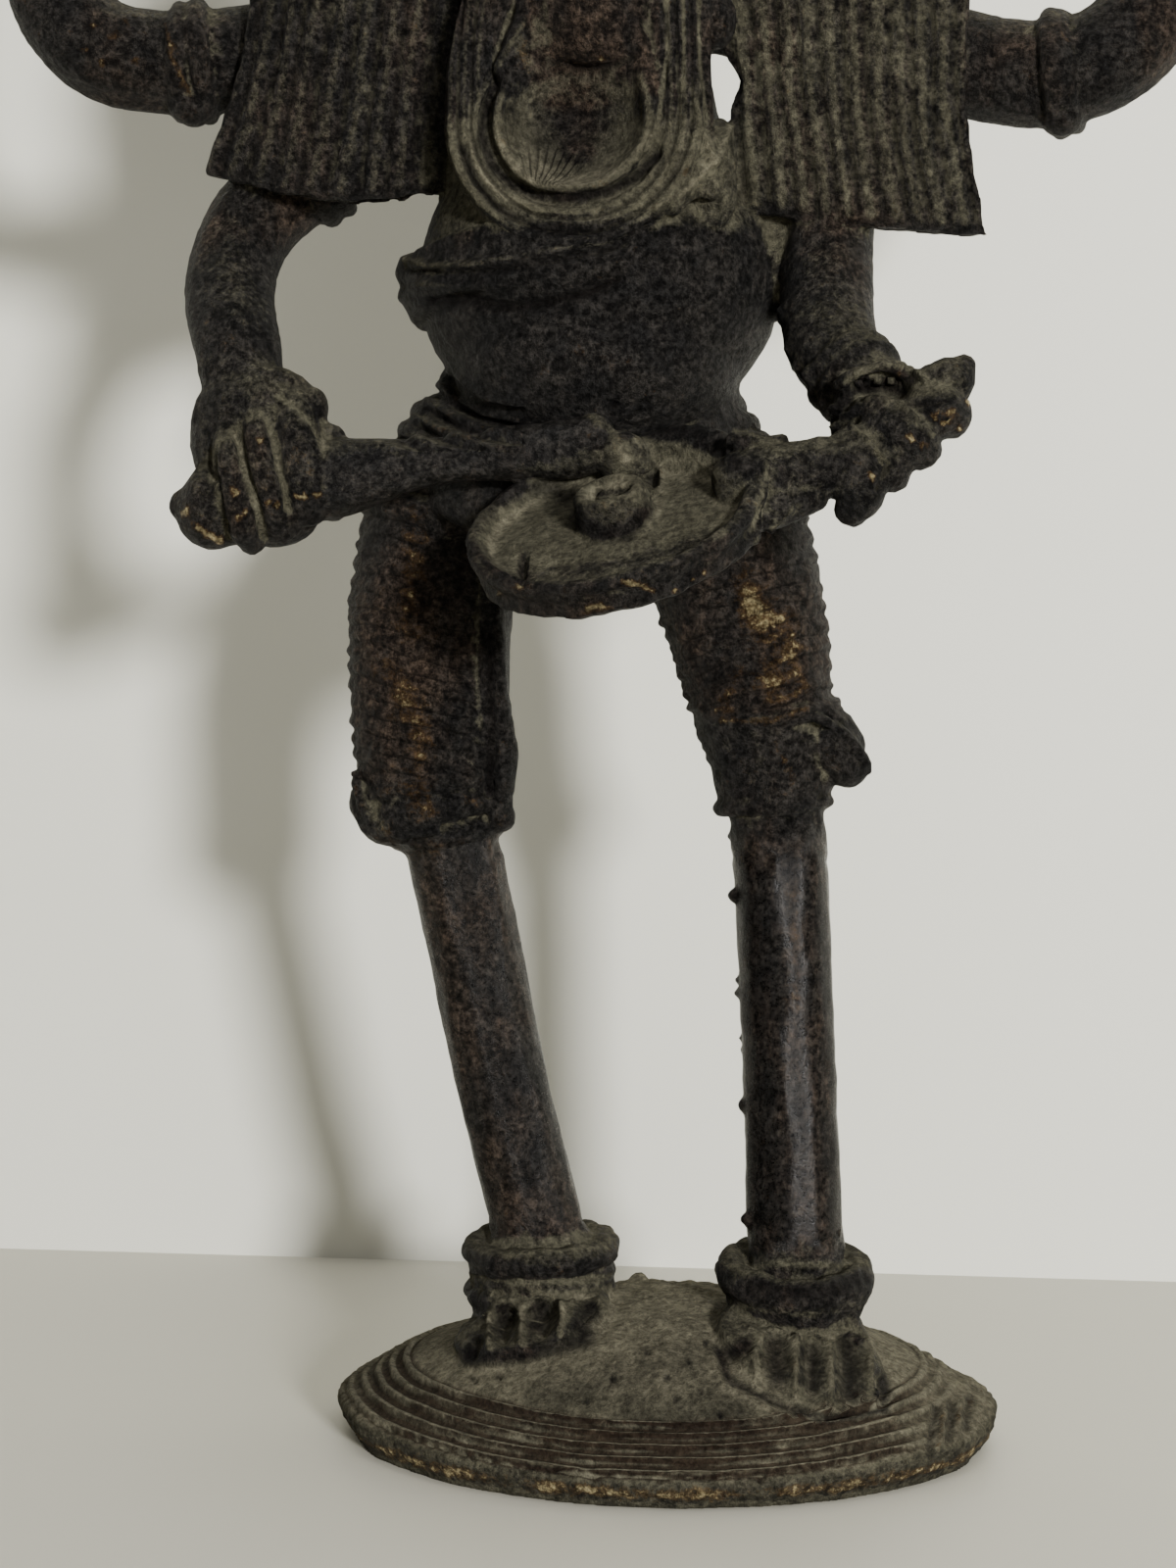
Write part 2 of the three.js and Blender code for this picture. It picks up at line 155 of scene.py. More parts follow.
def sewn(n, m, closed):
    """Triangles between n rings of m points, and from the last ring to the first if closed."""
    i = np.arange(n if closed else n - 1)[:, None]
    j = np.arange(m)[None, :]
    k, nxt = (j + 1) % m, (i + 1) % n
    a, b, c, d = i * m + j, i * m + k, nxt * m + k, nxt * m + j
    return np.vstack([np.stack([a, b, c], -1).reshape(-1, 3), np.stack([a, c, d], -1).reshape(-1, 3)])


def skin(rings):
    """A form given as rings of points, with a blunt end at the first and the last."""
    rings = np.asarray(rings, float)
    n, m, _ = rings.shape
    points = np.vstack([rings.reshape(-1, 3), rings[0].mean(0), rings[-1].mean(0)])
    j = np.arange(m)
    k = (j + 1) % m
    foot = np.stack([np.full(m, n * m), k, j], -1)
    top = np.stack([np.full(m, n * m + 1), (n - 1) * m + j, (n - 1) * m + k], -1)
    add_form(points, np.vstack([sewn(n, m, False), foot, top]))


def roll(points, stations, sides=28, step=0.5, deep=1.0, blunt=0.6, soft=0.12, relief=None):
    """A roll of wax along a smooth line. A station is a place on the line, counted in points, and the radius
    there. relief, if given, takes places, angles and points and returns what to add to the radius."""
    last = len(points) - 1
    rough = curve(points, np.linspace(0, last, 80))
    length = np.linalg.norm(np.diff(rough, axis=0), axis=1).sum()
    t = np.linspace(0, last, max(int(length / step), 4))
    centre = curve(points, t)
    tangent = curve(points, t + 1e-3) - curve(points, t - 1e-3)
    tangent[0] = centre[1] - centre[0]
    tangent[-1] = centre[-1] - centre[-2]
    tangent /= np.linalg.norm(tangent, axis=1)[:, None]
    side = np.cross((0, 1, 0), tangent)
    side /= np.maximum(np.linalg.norm(side, axis=1), 1e-6)[:, None]
    front = np.cross(tangent, side)
    places, radii = zip(*stations)
    radius = eased(t, places, radii, soft)
    angle = np.arange(sides) * TAU / sides
    round_ = side[:, None] * np.cos(angle)[None, :, None] + deep * front[:, None] * np.sin(angle)[None, :, None]
    extra = np.zeros((len(t), sides))
    if relief is not None:
        at = centre[:, None] + radius[:, None, None] * round_
        tt = np.broadcast_to(t[:, None], at.shape[:2])
        aa = np.broadcast_to(angle[None], at.shape[:2])
        extra = relief(tt.ravel(), aa.ravel(), at.reshape(-1, 3)).reshape(at.shape[:2])
    rings = list(centre[:, None] + (radius[:, None] + extra)[..., None] * round_)
    for end, way in ((0, -1), (-1, 1)):
        for share in (0.35, 0.7, 1.0, 1.3):
            edge = (radius[end] + extra[end])[:, None] * round_[end] * math.cos(share)
            ring = centre[end] + edge + way * tangent[end] * radius[end] * blunt * math.sin(share)
            rings.insert(len(rings) if way > 0 else 0, ring)
    skin(rings)


def plain_roll(points, radii, **more):
    roll(points, [(i, r) for i, r in enumerate(radii)], **more)


def thread(points, radius, **more):
    """A thin wax thread along a smooth line."""
    plain_roll(points, [radius] * len(points), sides=10, step=0.35, **more)


def loop(path, radius, sides=16, count=140, flat=1.0):
    """A closed coil: path gives a point for each angle, and flat how deep the section is for its height."""
    angle = np.arange(count) * TAU / count
    centre = path(angle)
    tangent = np.roll(centre, -1, 0) - np.roll(centre, 1, 0)
    tangent /= np.linalg.norm(tangent, axis=1)[:, None]
    up = np.array([0, 0, 1.0]) - tangent * tangent[:, 2:3]
    up /= np.linalg.norm(up, axis=1)[:, None]
    out = np.cross(tangent, up)
    radius = np.broadcast_to(np.asarray(radius(angle) if callable(radius) else radius, float), angle.shape)
    a = np.arange(sides) * TAU / sides
    ring = centre[:, None] + radius[:, None, None] * (
        out[:, None] * (flat * np.cos(a))[None, :, None] + up[:, None] * np.sin(a)[None, :, None])
    add_form(ring.reshape(-1, 3), sewn(count, sides, True))


def hoop(centre, ring, radius, tilt=(0, 0), **more):
    """A coil round a limb: ring is its half-sizes, and tilt its rise towards +X and towards the back."""
    def path(angle):
        x, y = ring[0] * np.cos(angle), ring[1] * np.sin(angle)
        return np.stack([centre[0] + x, centre[1] + y, centre[2] + tilt[0] * x + tilt[1] * y], -1)
    loop(path, radius, **more)


def coil_round(path, place, radius, ring):
    """A coil round a limb, square to the limb's line at a place on it."""
    at = curve(path, [place])[0]
    way = curve(path, [place + 0.01])[0] - curve(path, [place - 0.01])[0]
    way /= np.linalg.norm(way)
    side = np.cross((0, 1, 0), way)
    side /= np.linalg.norm(side)
    front = np.cross(way, side)
    angle = np.arange(90) * TAU / 90
    out = side * np.cos(angle)[:, None] + front * np.sin(angle)[:, None]
    a = np.arange(14) * TAU / 14
    rings = at + ring * out[:, None] + radius * (
        out[:, None] * np.cos(a)[None, :, None] + way * np.sin(a)[None, :, None])
    add_form(rings.reshape(-1, 3), sewn(90, 14, True))


def egg(centre, radii, turn=0.0, lean=0.0, sides=40, rings=26, relief=None):
    """An egg-shaped lump, leaned about X and then turned about the front-to-back axis."""
    polar = np.linspace(0.02, math.pi - 0.02, rings)
    angle = np.arange(sides) * TAU / sides
    unit = np.stack([
        np.sin(polar)[:, None] * np.cos(angle)[None], np.sin(polar)[:, None] * np.sin(angle)[None],
        np.broadcast_to(np.cos(polar)[:, None], (rings, sides))], -1)
    p = unit * radii
    if relief is not None:
        p = p * (1 + relief(unit.reshape(-1, 3)).reshape(rings, sides, 1))
    c, s = math.cos(lean), math.sin(lean)
    p = np.stack([p[..., 0], c * p[..., 1] - s * p[..., 2], s * p[..., 1] + c * p[..., 2]], -1)
    c, s = math.cos(turn), math.sin(turn)
    p = np.stack([c * p[..., 0] + s * p[..., 2], p[..., 1], -s * p[..., 0] + c * p[..., 2]], -1)
    skin(p + np.asarray(centre, float))


def turned(profile, centre, up=(0, 0, 1), sides=96, step=0.35, bend=None):
    """A form turned about a line: profile is pairs of radius and height along up. bend moves its points."""
    profile = np.array(profile, float)
    fine = [profile[:1]]
    for a, b in zip(profile[:-1], profile[1:]):
        n = max(int(np.linalg.norm(b - a) / step), 1)
        fine.append(a + (b - a) * (np.arange(1, n + 1) / n)[:, None])
    fine = np.vstack(fine)
    fine[:, 0] = np.maximum(fine[:, 0], 0.02)
    up = np.array(up, float)
    up /= np.linalg.norm(up)
    across = np.cross((0, 1, 0) if abs(up[1]) < 0.9 else (1, 0, 0), up)
    across /= np.linalg.norm(across)
    other = np.cross(up, across)
    angle = np.arange(sides) * TAU / sides
    around = across * np.cos(angle)[:, None] + other * np.sin(angle)[:, None]
    rings = fine[:, None, 0:1] * around[None] + fine[:, None, 1:2] * up
    rings = rings + np.asarray(centre, float)
    if bend is not None:
        rings = bend(rings.reshape(-1, 3)).reshape(rings.shape)
    skin(rings)


# ---- base and feet ----

BASE_WIDTH, BASE_DEPTH, BASE_TOP = 66.4, 51.0, 13.8


def rim_share(x, y):
    """How far out on the base a point is: 0 at the middle and 1 at the rim."""
    return np.sqrt((2 * x / BASE_WIDTH) ** 2 + (2 * y / BASE_DEPTH) ** 2)


def dome(x, y):
    """Height of the base's smooth top: lower at the rim's front and back than at its sides."""
    wide = (2 * np.asarray(x, float) / BASE_WIDTH) ** 2
    out = np.minimum(wide + (2 * np.asarray(y, float) / BASE_DEPTH) ** 2, 1)
    sideways = np.where(out > 1e-9, np.minimum(wide / np.maximum(out, 1e-9), 1), 0)
    rim = 2.4 + 1.6 * sideways
    return rim + (BASE_TOP - rim) * (1 - out ** (1.4 - 0.4 * sideways))


def rib_phase(p):
    """Counts the raised threads along the rim, from the rim inwards: a crest is at each whole number."""
    share = rim_share(p[:, 0], p[:, 1])
    sideways = np.clip((2 * p[:, 0] / BASE_WIDTH) ** 2 / np.maximum(share**2, 1e-6), 0, 1)
    flat = p * (1, 1, 0)
    wave = 0.0045 * noise(flat, 9, 3) + 0.0016 * noise(flat, 2.6, 4)
    return (0.969 - share + wave) / (0.034 + 0.010 * sideways)


def build_base():
    n = 300
    angle = np.arange(n) * TAU / n
    ragged = np.stack([np.cos(angle) * 20, np.sin(angle) * 20, np.zeros(n)], -1)
    edge = 1 + 0.006 * noise(ragged, 5, 3) + 0.005 * noise(ragged, 1.6, 4)
    edge = edge - 0.012 * smooth(noise(ragged, 2.6, 5), 0.45, 0.8)
    edge = edge + 0.010 * np.abs(np.cos(angle)) ** 12
    x1, y1 = BASE_WIDTH / 2 * np.cos(angle), BASE_DEPTH / 2 * np.sin(angle)
    rings = []
    for share in (0.3, 0.6, 0.93):
        rings.append(np.stack([x1 * share, y1 * share, np.zeros(n)], -1))
    rim = dome(x1, y1)
    for up in np.linspace(0.04, 1, 12):
        out = (0.945 + 0.055 * math.sin(up * math.pi / 2)) * edge
        rings.append(np.stack([x1 * out, y1 * out, rim * up * 0.94], -1))
    for share in np.concatenate([np.linspace(0.995, 0.77, 20), np.linspace(0.75, 0.02, 40)]):
        x, y = x1 * share * (1 + (edge - 1) * share), y1 * share * (1 + (edge - 1) * share)
        rings.append(np.stack([x, y, dome(x, y)], -1))
    skin(rings)
    egg((-3.6, 9.5, 13.0), (1.0, 0.9, 0.9), sides=14, rings=10)


def build_feet():
    """Each foot is a pad on the dome with a steep front, and an instep under the anklet."""
    def sole(centre, half, turn, high):
        def shape(p):
            c, s = math.cos(turn), math.sin(turn)
            x, y = p[:, 0] * half[0], p[:, 1] * half[1]
            x, y = centre[0] + c * x - s * y, centre[1] + s * x + c * y
            return np.stack([x, y, dome(x, y) + p[:, 2] * high - 0.1], -1)
        turned([(0, -1), (0.94, -1), (1, 0.3), (0.97, 0.75), (0.88, 1), (0, 0.94)], (0, 0, 0), bend=shape, step=0.06)
    sole((-12.8, -6.0), (7.9, 7.9), 0.14, 1.8)
    egg((-12.6, -2.6, 12.9), (6.6, 4.9, 3.6), lean=0.12)
    sole((14.2, -8.6), (8.3, 7.8), -0.15, 1.5)
    egg((13.6, -5.0, 12.2), (6.8, 4.6, 3.9), lean=0.2)


# ---- legs ----

LEG_L = [(-12.9, 0.5, 10), (-12.7, 0.4, 18), (-16.6, 0, 35), (-21.6, -1, 59.5), (-23.3, -1, 66), (-23.9, -0.5, 82),
         (-22.6, 0, 92), (-18.6, 1, 102)]
LEG_R = [(13.5, -3, 9), (13.4, -3, 18), (12.6, -2.2, 40), (11.3, -1, 64), (10.2, -1, 72), (8.2, -0.7, 82),
         (5.2, 0, 92.5), (0.8, 1, 102)]
LINE_L = curve(LEG_L, np.linspace(0, 7, 400))
LINE_R = curve(LEG_R, np.linspace(0, 7, 400))
WINDING = 1.75  # millimetres from one wound thread to the next


def leg_axis(line, z):
    """The x and y of a leg's middle line at a height."""
    return np.interp(z, line[:, 2], line[:, 0]), np.interp(z, line[:, 2], line[:, 1])


def winding(p, line, slope):
    """Counts the wax threads wound round a trouser leg, from the floor up."""
    x, _ = leg_axis(line, p[:, 2])
    wobble = 0.5 * noise(p, 8, 2) + 0.2 * noise(p, 3, 6)
    return (p[:, 2] + slope * (p[:, 0] - x) + wobble) / WINDING


def shingle(phase):
    """Height of a wound thread: rounded, fullest low down, and cut in under its lower edge."""
    t = phase % 1.0
    return np.where(t < 0.35, smooth(t, -0.1, 0.35), 1 - 0.85 * smooth(t, 0.35, 1.0))


def limb(line, low, high, profile, **more):
    """A roll along a leg's line between two heights; profile is pairs of height and radius."""
    heights = np.linspace(low, high, max(int((high - low) / 4), 3))
    x, y = leg_axis(line, heights)
    places = np.arange(len(heights))
    stations = [(float(np.interp(h, heights, places)), r) for h, r in profile]
    roll(np.stack([x, y, heights], -1), stations, **more)


def streaks(depth, seed):
    """Long shallow flats and scratches along a limb."""
    def relief(t, a, p):
        q = np.stack([np.cos(a) * 3, np.sin(a) * 3, p[:, 2] / 9], -1)
        return depth * noise(q, 1.3, seed) + 0.4 * depth * noise(q, 0.5, seed + 1)
    return relief


def build_legs():
    limb(LINE_L, 11, 70, [(11, 4.9), (20, 4.7), (40, 4.65), (58, 4.75), (70, 4.9)], sides=64, relief=streaks(0.2, 20))
    limb(LINE_R, 11, 76, [(11, 5), (20, 4.8), (40, 4.65), (62, 4.75), (76, 4.9)], sides=64, relief=streaks(0.13, 24))
    lumpy = lambda t, a, p: 0.16 * noise(p, 3.4, 10)
    limb(LINE_L, 66, 101, [(66, 7.3), (68, 7.8), (73, 8), (83, 8.3), (92, 8.1), (101, 6.9)], sides=80, relief=lumpy)
    limb(LINE_R, 72, 101, [(72, 6.7), (74, 7.1), (80, 7.8), (84, 8.2), (91, 8.6), (101, 6.8)], sides=80, relief=lumpy)
    # the left hem: a tied roll that rises to the right, with its knot on the left
    hoop((-22.7, -1.1, 63.4), (6.1, 6.0), lambda a: 1.8 - 0.6 * np.cos(a), tilt=(0.17, -0.05), flat=0.8)
    hoop((-23.0, -1.1, 66.0), (6.9, 6.7), 1.0, tilt=(0.18, -0.03))
    hoop((-22.2, -1, 61.0), (4.7, 4.7), 1.2, tilt=(0.14, 0.02))
    egg((-28.9, -2.6, 64.6), (2.7, 3.0, 3.4), turn=0.5)
    egg((-27.8, -3.6, 62.0), (2.4, 2.6, 2.2), turn=-0.6)
    thread([(-31, -4.4, 67.0), (-29.9, -5.4, 63.6), (-26.9, -6.6, 61.4), (-22, -7.6, 61.6)], 0.6)
    thread([(-30.8, -4.0, 63.0), (-28.8, -5.8, 61.0), (-25, -6.6, 60.2)], 0.5)
    egg((-16.2, -3, 62.6), (1.3, 2.1, 1.5))
    # the flap down the inner side of the left trouser leg
    plain_roll([(-17.2, -4.6, 93), (-17.0, -5.2, 84), (-16.6, -5.4, 75), (-16.0, -4.6, 69), (-16.2, -3.8, 64)],
               [1.2, 1.5, 1.6, 1.7, 1.2], sides=18)
    # the right cuff: a narrow band, tied by a thread that slants up to a leaf-shaped knot on the right
    limb(LINE_R, 65, 73, [(65, 5.7), (67.5, 5.9), (70, 6.3), (73, 6.7)], sides=64, relief=lumpy, blunt=0.25)
    hoop((10.9, -1, 64.0), (5.3, 5.3), 0.7, tilt=(0.08, 0))
    hoop((10.6, -1, 72.4), (6.5, 6.5), 0.8, tilt=(0.2, 0))
    egg((17.2, -2.6, 70.2), (2.8, 3.2, 4.0), turn=-0.45)
    egg((18.2, -2.4, 67.8), (2.2, 2.6, 2.0))
    thread([(13.4, -6.6, 73.4), (16.8, -6.2, 72.2), (19.6, -4.6, 69.6), (20.4, -2.6, 67.4)], 0.6)
    # anklets: coils of thick thread that sit on the feet
    hoop((-12.8, 0.3, 18.3), (6.6, 6.6), lambda a: 1.5 + 0.14 * np.sin(3 * a), tilt=(0.03, 0.03), flat=1.05)
    hoop((-12.6, 0.2, 16.0), (6.7, 6.6), 0.95, tilt=(-0.02, 0))
    hoop((-12.8, 0.1, 14.2), (6.5, 6.6), lambda a: 1.2 + 0.1 * np.sin(5 * a), tilt=(0.02, 0.05))
    limb(LINE_L, 12, 18, [(12, 6.4), (18, 6.0)], sides=48)
    hoop((13.4, -3.2, 17.3), (6.4, 6.5), lambda a: 1.8 + 0.15 * np.cos(2 * a), tilt=(-0.05, 0.12), flat=0.8)
    hoop((13.6, -3.1, 15.0), (6.0, 6.0), 1.0, tilt=(-0.03, 0.08))
    limb(LINE_R, 11, 16, [(11, 6.2), (16, 5.8)], sides=48)


# ---- body ----

SASH_TILT = 0.17
BELLY_X, BELLY_Z = -6.4, 115.5


def body_line(z):
    """The x of the body's middle line at a height: the hips sway to the left."""
    hips = -9 + 2.6 * smooth(z, 98, 114)
    return hips - 0.8 * smooth(z, 122, 134)


def build_body():
    profile = [(0, 89.5), (7, 89.8), (11, 91.6), (14, 94.8), (15, 98.4), (14.4, 102), (13.2, 105), (14.4, 107.4),
               (16.0, 109.6), (17.4, 112.4), (18.0, 115.4), (17.9, 118.6), (17.2, 121.6), (15.6, 125), (13.2, 130),
               (11.7, 137), (12.2, 146), (8, 152), (0, 154)]
    def bend(p):
        z = p[:, 2]
        out = np.hypot(p[:, 0], p[:, 1])
        front = np.where(out > 0, np.maximum(-p[:, 1] / np.maximum(out, 1e-6), 0), 0) ** 2
        waist = smooth(z, 97, 101) * (1 - smooth(z, 105, 108))
        deep = 0.76 + 0.12 * smooth(z, 98, 110)
        return np.stack([p[:, 0] + body_line(z), p[:, 1] * deep - 1.2, z - 3.4 * waist * front], -1)
    fine = curve([(r, 0, z) for r, z in profile], np.linspace(0, len(profile) - 1, 160))
    turned([(max(r, 0.02), z) for r, _, z in fine], (0, 0, 0), bend=bend, sides=120, step=0.6)
    # belly: one round form from the sash down, which overhangs the waist
    egg((BELLY_X, -2.2, BELLY_Z), (18, 15.6, 14.8), sides=90, rings=60, relief=lambda u: 0.006 * noise(u * 10, 3, 31))
    egg((BELLY_X, -4.6, 107.6), (14.2, 12.6, 9.2), sides=80, rings=50)

    # waist: cords wound round under the belly, which dip steeply in front
    def waist(radius, height, dip, lean):
        def path(a):
            x, y = radius * np.cos(a), radius * 0.86 * np.sin(a)
            front = np.maximum(-np.sin(a), 0) ** 1.2
            return np.stack([x + body_line(height), y - 1.2, height - dip * front + lean * x], -1)
        return path
    for i, (radius, height, dip) in enumerate([(14.1, 106.2, 11), (14.8, 104.2, 10), (15.2, 102.1, 9),
                                              (15.3, 100.0, 8), (15.0, 98.0, 7)]):
        loop(waist(radius, height, dip, 0.02 * (i - 2)),
             lambda a, i=i: 1.15 + 0.14 * np.sin(5 * a + i * 1.7), flat=0.9)

    # the same cords go on round the tops of the thighs
    for place, ring in ((6.02, 7.7), (6.24, 7.5), (6.46, 7.2), (6.68, 6.9), (6.9, 6.5)):
        coil_round(LEG_L, place, 1.1, ring)
        coil_round(LEG_R, place, 1.1, ring)

    # sash: a folded band that rises to the right and sinks into the belly there
    def band(rise, proud):
        def path(a):
            z = 118 + rise + SASH_TILT * 18 * np.cos(a)
            girth = np.interp(z, [110, 113, 115.5, 118.6, 121.6, 125], [16.6, 17.7, 18, 17.9, 17.2, 15.6])
            sunk = 2.4 * smooth(np.cos(a), -0.25, 0.5) * smooth(-np.sin(a), -0.1, 0.3)
            x, y = (girth + proud - sunk) * np.cos(a), (0.87 * girth + proud - sunk) * np.sin(a)
            return np.stack([x + BELLY_X, y - 1.6, z], -1)
        return path
    swell = lambda a, size: size * (1 + 0.12 * np.sin(6 * a + size * 5) + 0.2 * smooth(-np.cos(a), 0.75, 1))
    loop(band(2.5, 0.5), lambda a: swell(a, 0.85), flat=0.9)
    loop(band(1.0, 0.45), lambda a: swell(a, 1.15), flat=0.9)
    loop(band(-0.7, 0.6), lambda a: swell(a, 1.15), flat=0.9)
    loop(band(-2.2, 0.6), lambda a: swell(a, 0.85), flat=0.95)
    egg((-24.4, -4.6, 116.9), (2.1, 2.6, 2.0))
    egg((-24.6, -4.4, 114.6), (1.8, 2.3, 1.2))
    plain_roll([(11, -4, 123), (11.4, -4.8, 117.5), (11.6, -5, 112.4)], [1.9, 1.9, 1.6], sides=24)


BIB_X, BIB_Z, DISH = -7.1, 129.3, 7.3


def chest_front(z):
    return -17.2 + (z - 117) * 0.09


def strand_radius(x, z, drawn=3.6):
    """Distance from the middle of the dish, with the upper half drawn up so that the strands run upwards."""
    dz = np.where(z > BIB_Z, (z - BIB_Z) / drawn, z - BIB_Z)
    return np.hypot(x - BIB_X, dz)


def build_bib():
    def lay(p):
        r = np.hypot(p[:, 0], p[:, 2])
        drawn = 1.15 + 0.75 * smooth(r, 5.0, DISH)
        z = BIB_Z + np.where(p[:, 2] > 0, p[:, 2] * drawn, p[:, 2])
        return np.stack([p[:, 0] + BIB_X, chest_front(z) - p[:, 1], z], -1)
    profile = [(0, -8), (12.2, -8), (12.6, -0.6), (12.3, 0.35), (11.8, 0.7), (9.1, 0.75), (8.6, 0.3), (8.3, -0.9),
               (8.0, -0.7), (7.75, 0.6), (7.3, 1.2), (6.8, 1.0), (6.3, 0.2), (5.3, -1.2), (3.8, -2.2), (2.2, -2.7),
               (0, -2.9)]
    turned(profile, (0, 0, 0), up=(0, 1, 0), bend=lay, sides=150, step=0.3)
    # threads that run up at the right, and the web that ties them to the ear below the see-through gap
    for x in (1.2, 3.1, 4.9):
        plain_roll([(x + 0.8, -15.2, 122), (x, -15.4, 130), (x - 0.4, -14.4, 140), (x - 1.2, -13.4, 152)],
                   [0.9, 1.05, 1.0, 0.9], sides=16)
    plain_roll([(2.0, -16.4, 120.6), (4.6, -15.2, 124.0), (6.8, -13.6, 127.6)], [1.0, 1.2, 0.9], sides=16)
    egg((6.2, -12.0, 125.4), (1.7, 2.2, 4.4))
    egg((5.6, -12.0, 122.6), (2.4, 2.4, 3.4))
    egg((5.9, -11.2, 139.2), (1.9, 2.6, 2.8))
    # the fold that comes down at the left of the trunk's end into the dish
    plain_roll([(-10.4, -14.8, 152), (-11.0, -15.0, 143), (-11.6, -14.8, 139), (-12.2, -14.0, 136)],
               [1.8, 1.7, 1.3, 0.8], sides=18)


# ---- ears and head ----

EARS = [
    {"left": [-45.4, -41.6, -40, -41, -37], "right": [-19.8, -18.6, -16.8, -14.6, -13.4],
     "foot": [126.6, 124, 123.2, 124.6], "top": [166, 173, 173, 168], "flutes": 9, "notch": 0},
    {"left": [7.4, 6.5, 5, 3, 2], "right": [31.6, 29.6, 29.8, 31.4, 27.5],
     "foot": [121.8, 120.4, 119.4, 119], "top": [168, 173, 172, 165], "flutes": 11, "notch": 1.2},
]
EAR_THICK = 1.55


def along(values, t):
    """Evenly spaced values read as a smooth curve at t from 0 to 1."""
    t = np.asarray(t, float)
    line = curve([(i * 1.0, a, 0) for i, a in enumerate(values)], t.ravel() * (len(values) - 1))
    return line[:, 1].reshape(t.shape)


def ear_middle(u, w):
    return -9.6 - 1.6 * np.sin(math.pi * u) + 3 * (1 - w)


def build_ears():
    for ear in EARS:
        w = np.linspace(0, 1, 150)[:, None]
        u = np.concatenate([np.linspace(0, 1, 90), np.linspace(1, 0, 60)[1:-1]])[None]
        u, w = np.broadcast_arrays(u, w)
        front = np.zeros(u.shape, bool)
        front[:, :90] = True
        wavy = 0.3 * noise(np.stack([w * 40, u * 0, w * 0], -1).reshape(-1, 3), 2.5, 45).reshape(u.shape)
        # a notch beside the bib lets the wall be seen through
        notch = ear["notch"] * np.exp(-(((w - 0.262) / 0.05) ** 2))
        x = (along(ear["left"], w) + wavy + notch) * (1 - u) + (along(ear["right"], w) - wavy) * u
        ragged = 0.4 * noise(np.stack([u * 30, w * 0, w * 0], -1).reshape(-1, 3), 2.2, 43).reshape(u.shape)
        z = (along(ear["foot"], u) + ragged) * (1 - w) + along(ear["top"], u) * w
        half = EAR_THICK * (1 - 0.3 * np.abs(2 * u - 1) ** 4)
        half = half * (1 - 0.4 * (1 - smooth(np.minimum(w, 1 - w) * 50, 0, 1.1)) ** 2)
        skin(np.stack([x, ear_middle(u, w) + np.where(front, -half, half), z], -1))


def build_head():
    x, y, z = -5.5, -2.0, 159.0
    egg((x, y, z), (12, 11, 13.5), sides=64, rings=40)
    egg((x, y - 6.4, z + 3.5), (9.3, 6.3, 6.2))
    # trunk: broad, ringed with shallow wrinkles, its rounded end hanging into the dish
    def wrinkles(t, a, p):
        front = smooth(np.sin(-a), -0.4, 0.6)
        rings = 0.18 * front * np.cos(p[:, 2] * TAU / 2.3 + 0.8 * np.cos(a)) * smooth(p[:, 2], 137, 142)
        return rings + 0.3 * noise(p, 2.2, 47)
    roll([(x, y - 7, z - 1), (x + 0.2, y - 12.2, z - 9), (x + 0.5, y - 12.7, z - 17), (x + 0.7, y - 11.7, z - 22.6)],
         [(0, 7), (1, 6), (2, 5.4), (2.6, 5.2), (3, 4.8)], sides=64, step=0.35, deep=0.6, blunt=0.45, relief=wrinkles)
    for side in (-1, 1):
        plain_roll([(x + side * 6.2, y - 10, z - 8), (x + side * 7.6, y - 13.6, z - 9.6),
                    (x + side * 8.4, y - 16.6, z - 10.2)], [1.9, 1.6, 1.0], sides=24)
        eye = (x + side * 5.8, y - 9.8, z + 1.4)
        egg(eye, (2.3, 1.9, 1.5))
        # thread round the eye, and a brow above it
        def lid(a, side=side, eye=eye):
            return np.stack([eye[0] + 3.0 * np.cos(a), eye[1] - 1.0 + 0.28 * side * 3.0 * np.cos(a) * 1.3,
                             eye[2] + 2.0 * np.sin(a)], -1)
        loop(lid, 0.6, sides=12, count=60)
        plain_roll([(eye[0] - side * 3.6, eye[1] - 1.4, eye[2] + 3.4), (eye[0], eye[1] - 1.9, eye[2] + 4.6),
                    (eye[0] + side * 3.6, eye[1] + 0.6, eye[2] + 3.2)], [0.7, 0.9, 0.6], sides=14)
        # cheek: a soft swelling that joins the trunk to the ear
        egg((x + side * 8.6, y - 6.2, z - 7.5), (4.6, 4.2, 6.6))
    thread([(x, y - 13.0, z + 8.6), (x, y - 13.2, z + 6), (x, y - 12.8, z + 3.6)], 0.8)


CROWN_FOOT, CROWN_TOP, CROWN_RADIUS, CROWN_BAND, TIERS = 168.0, 202.0, 10.2, 11.9, 4


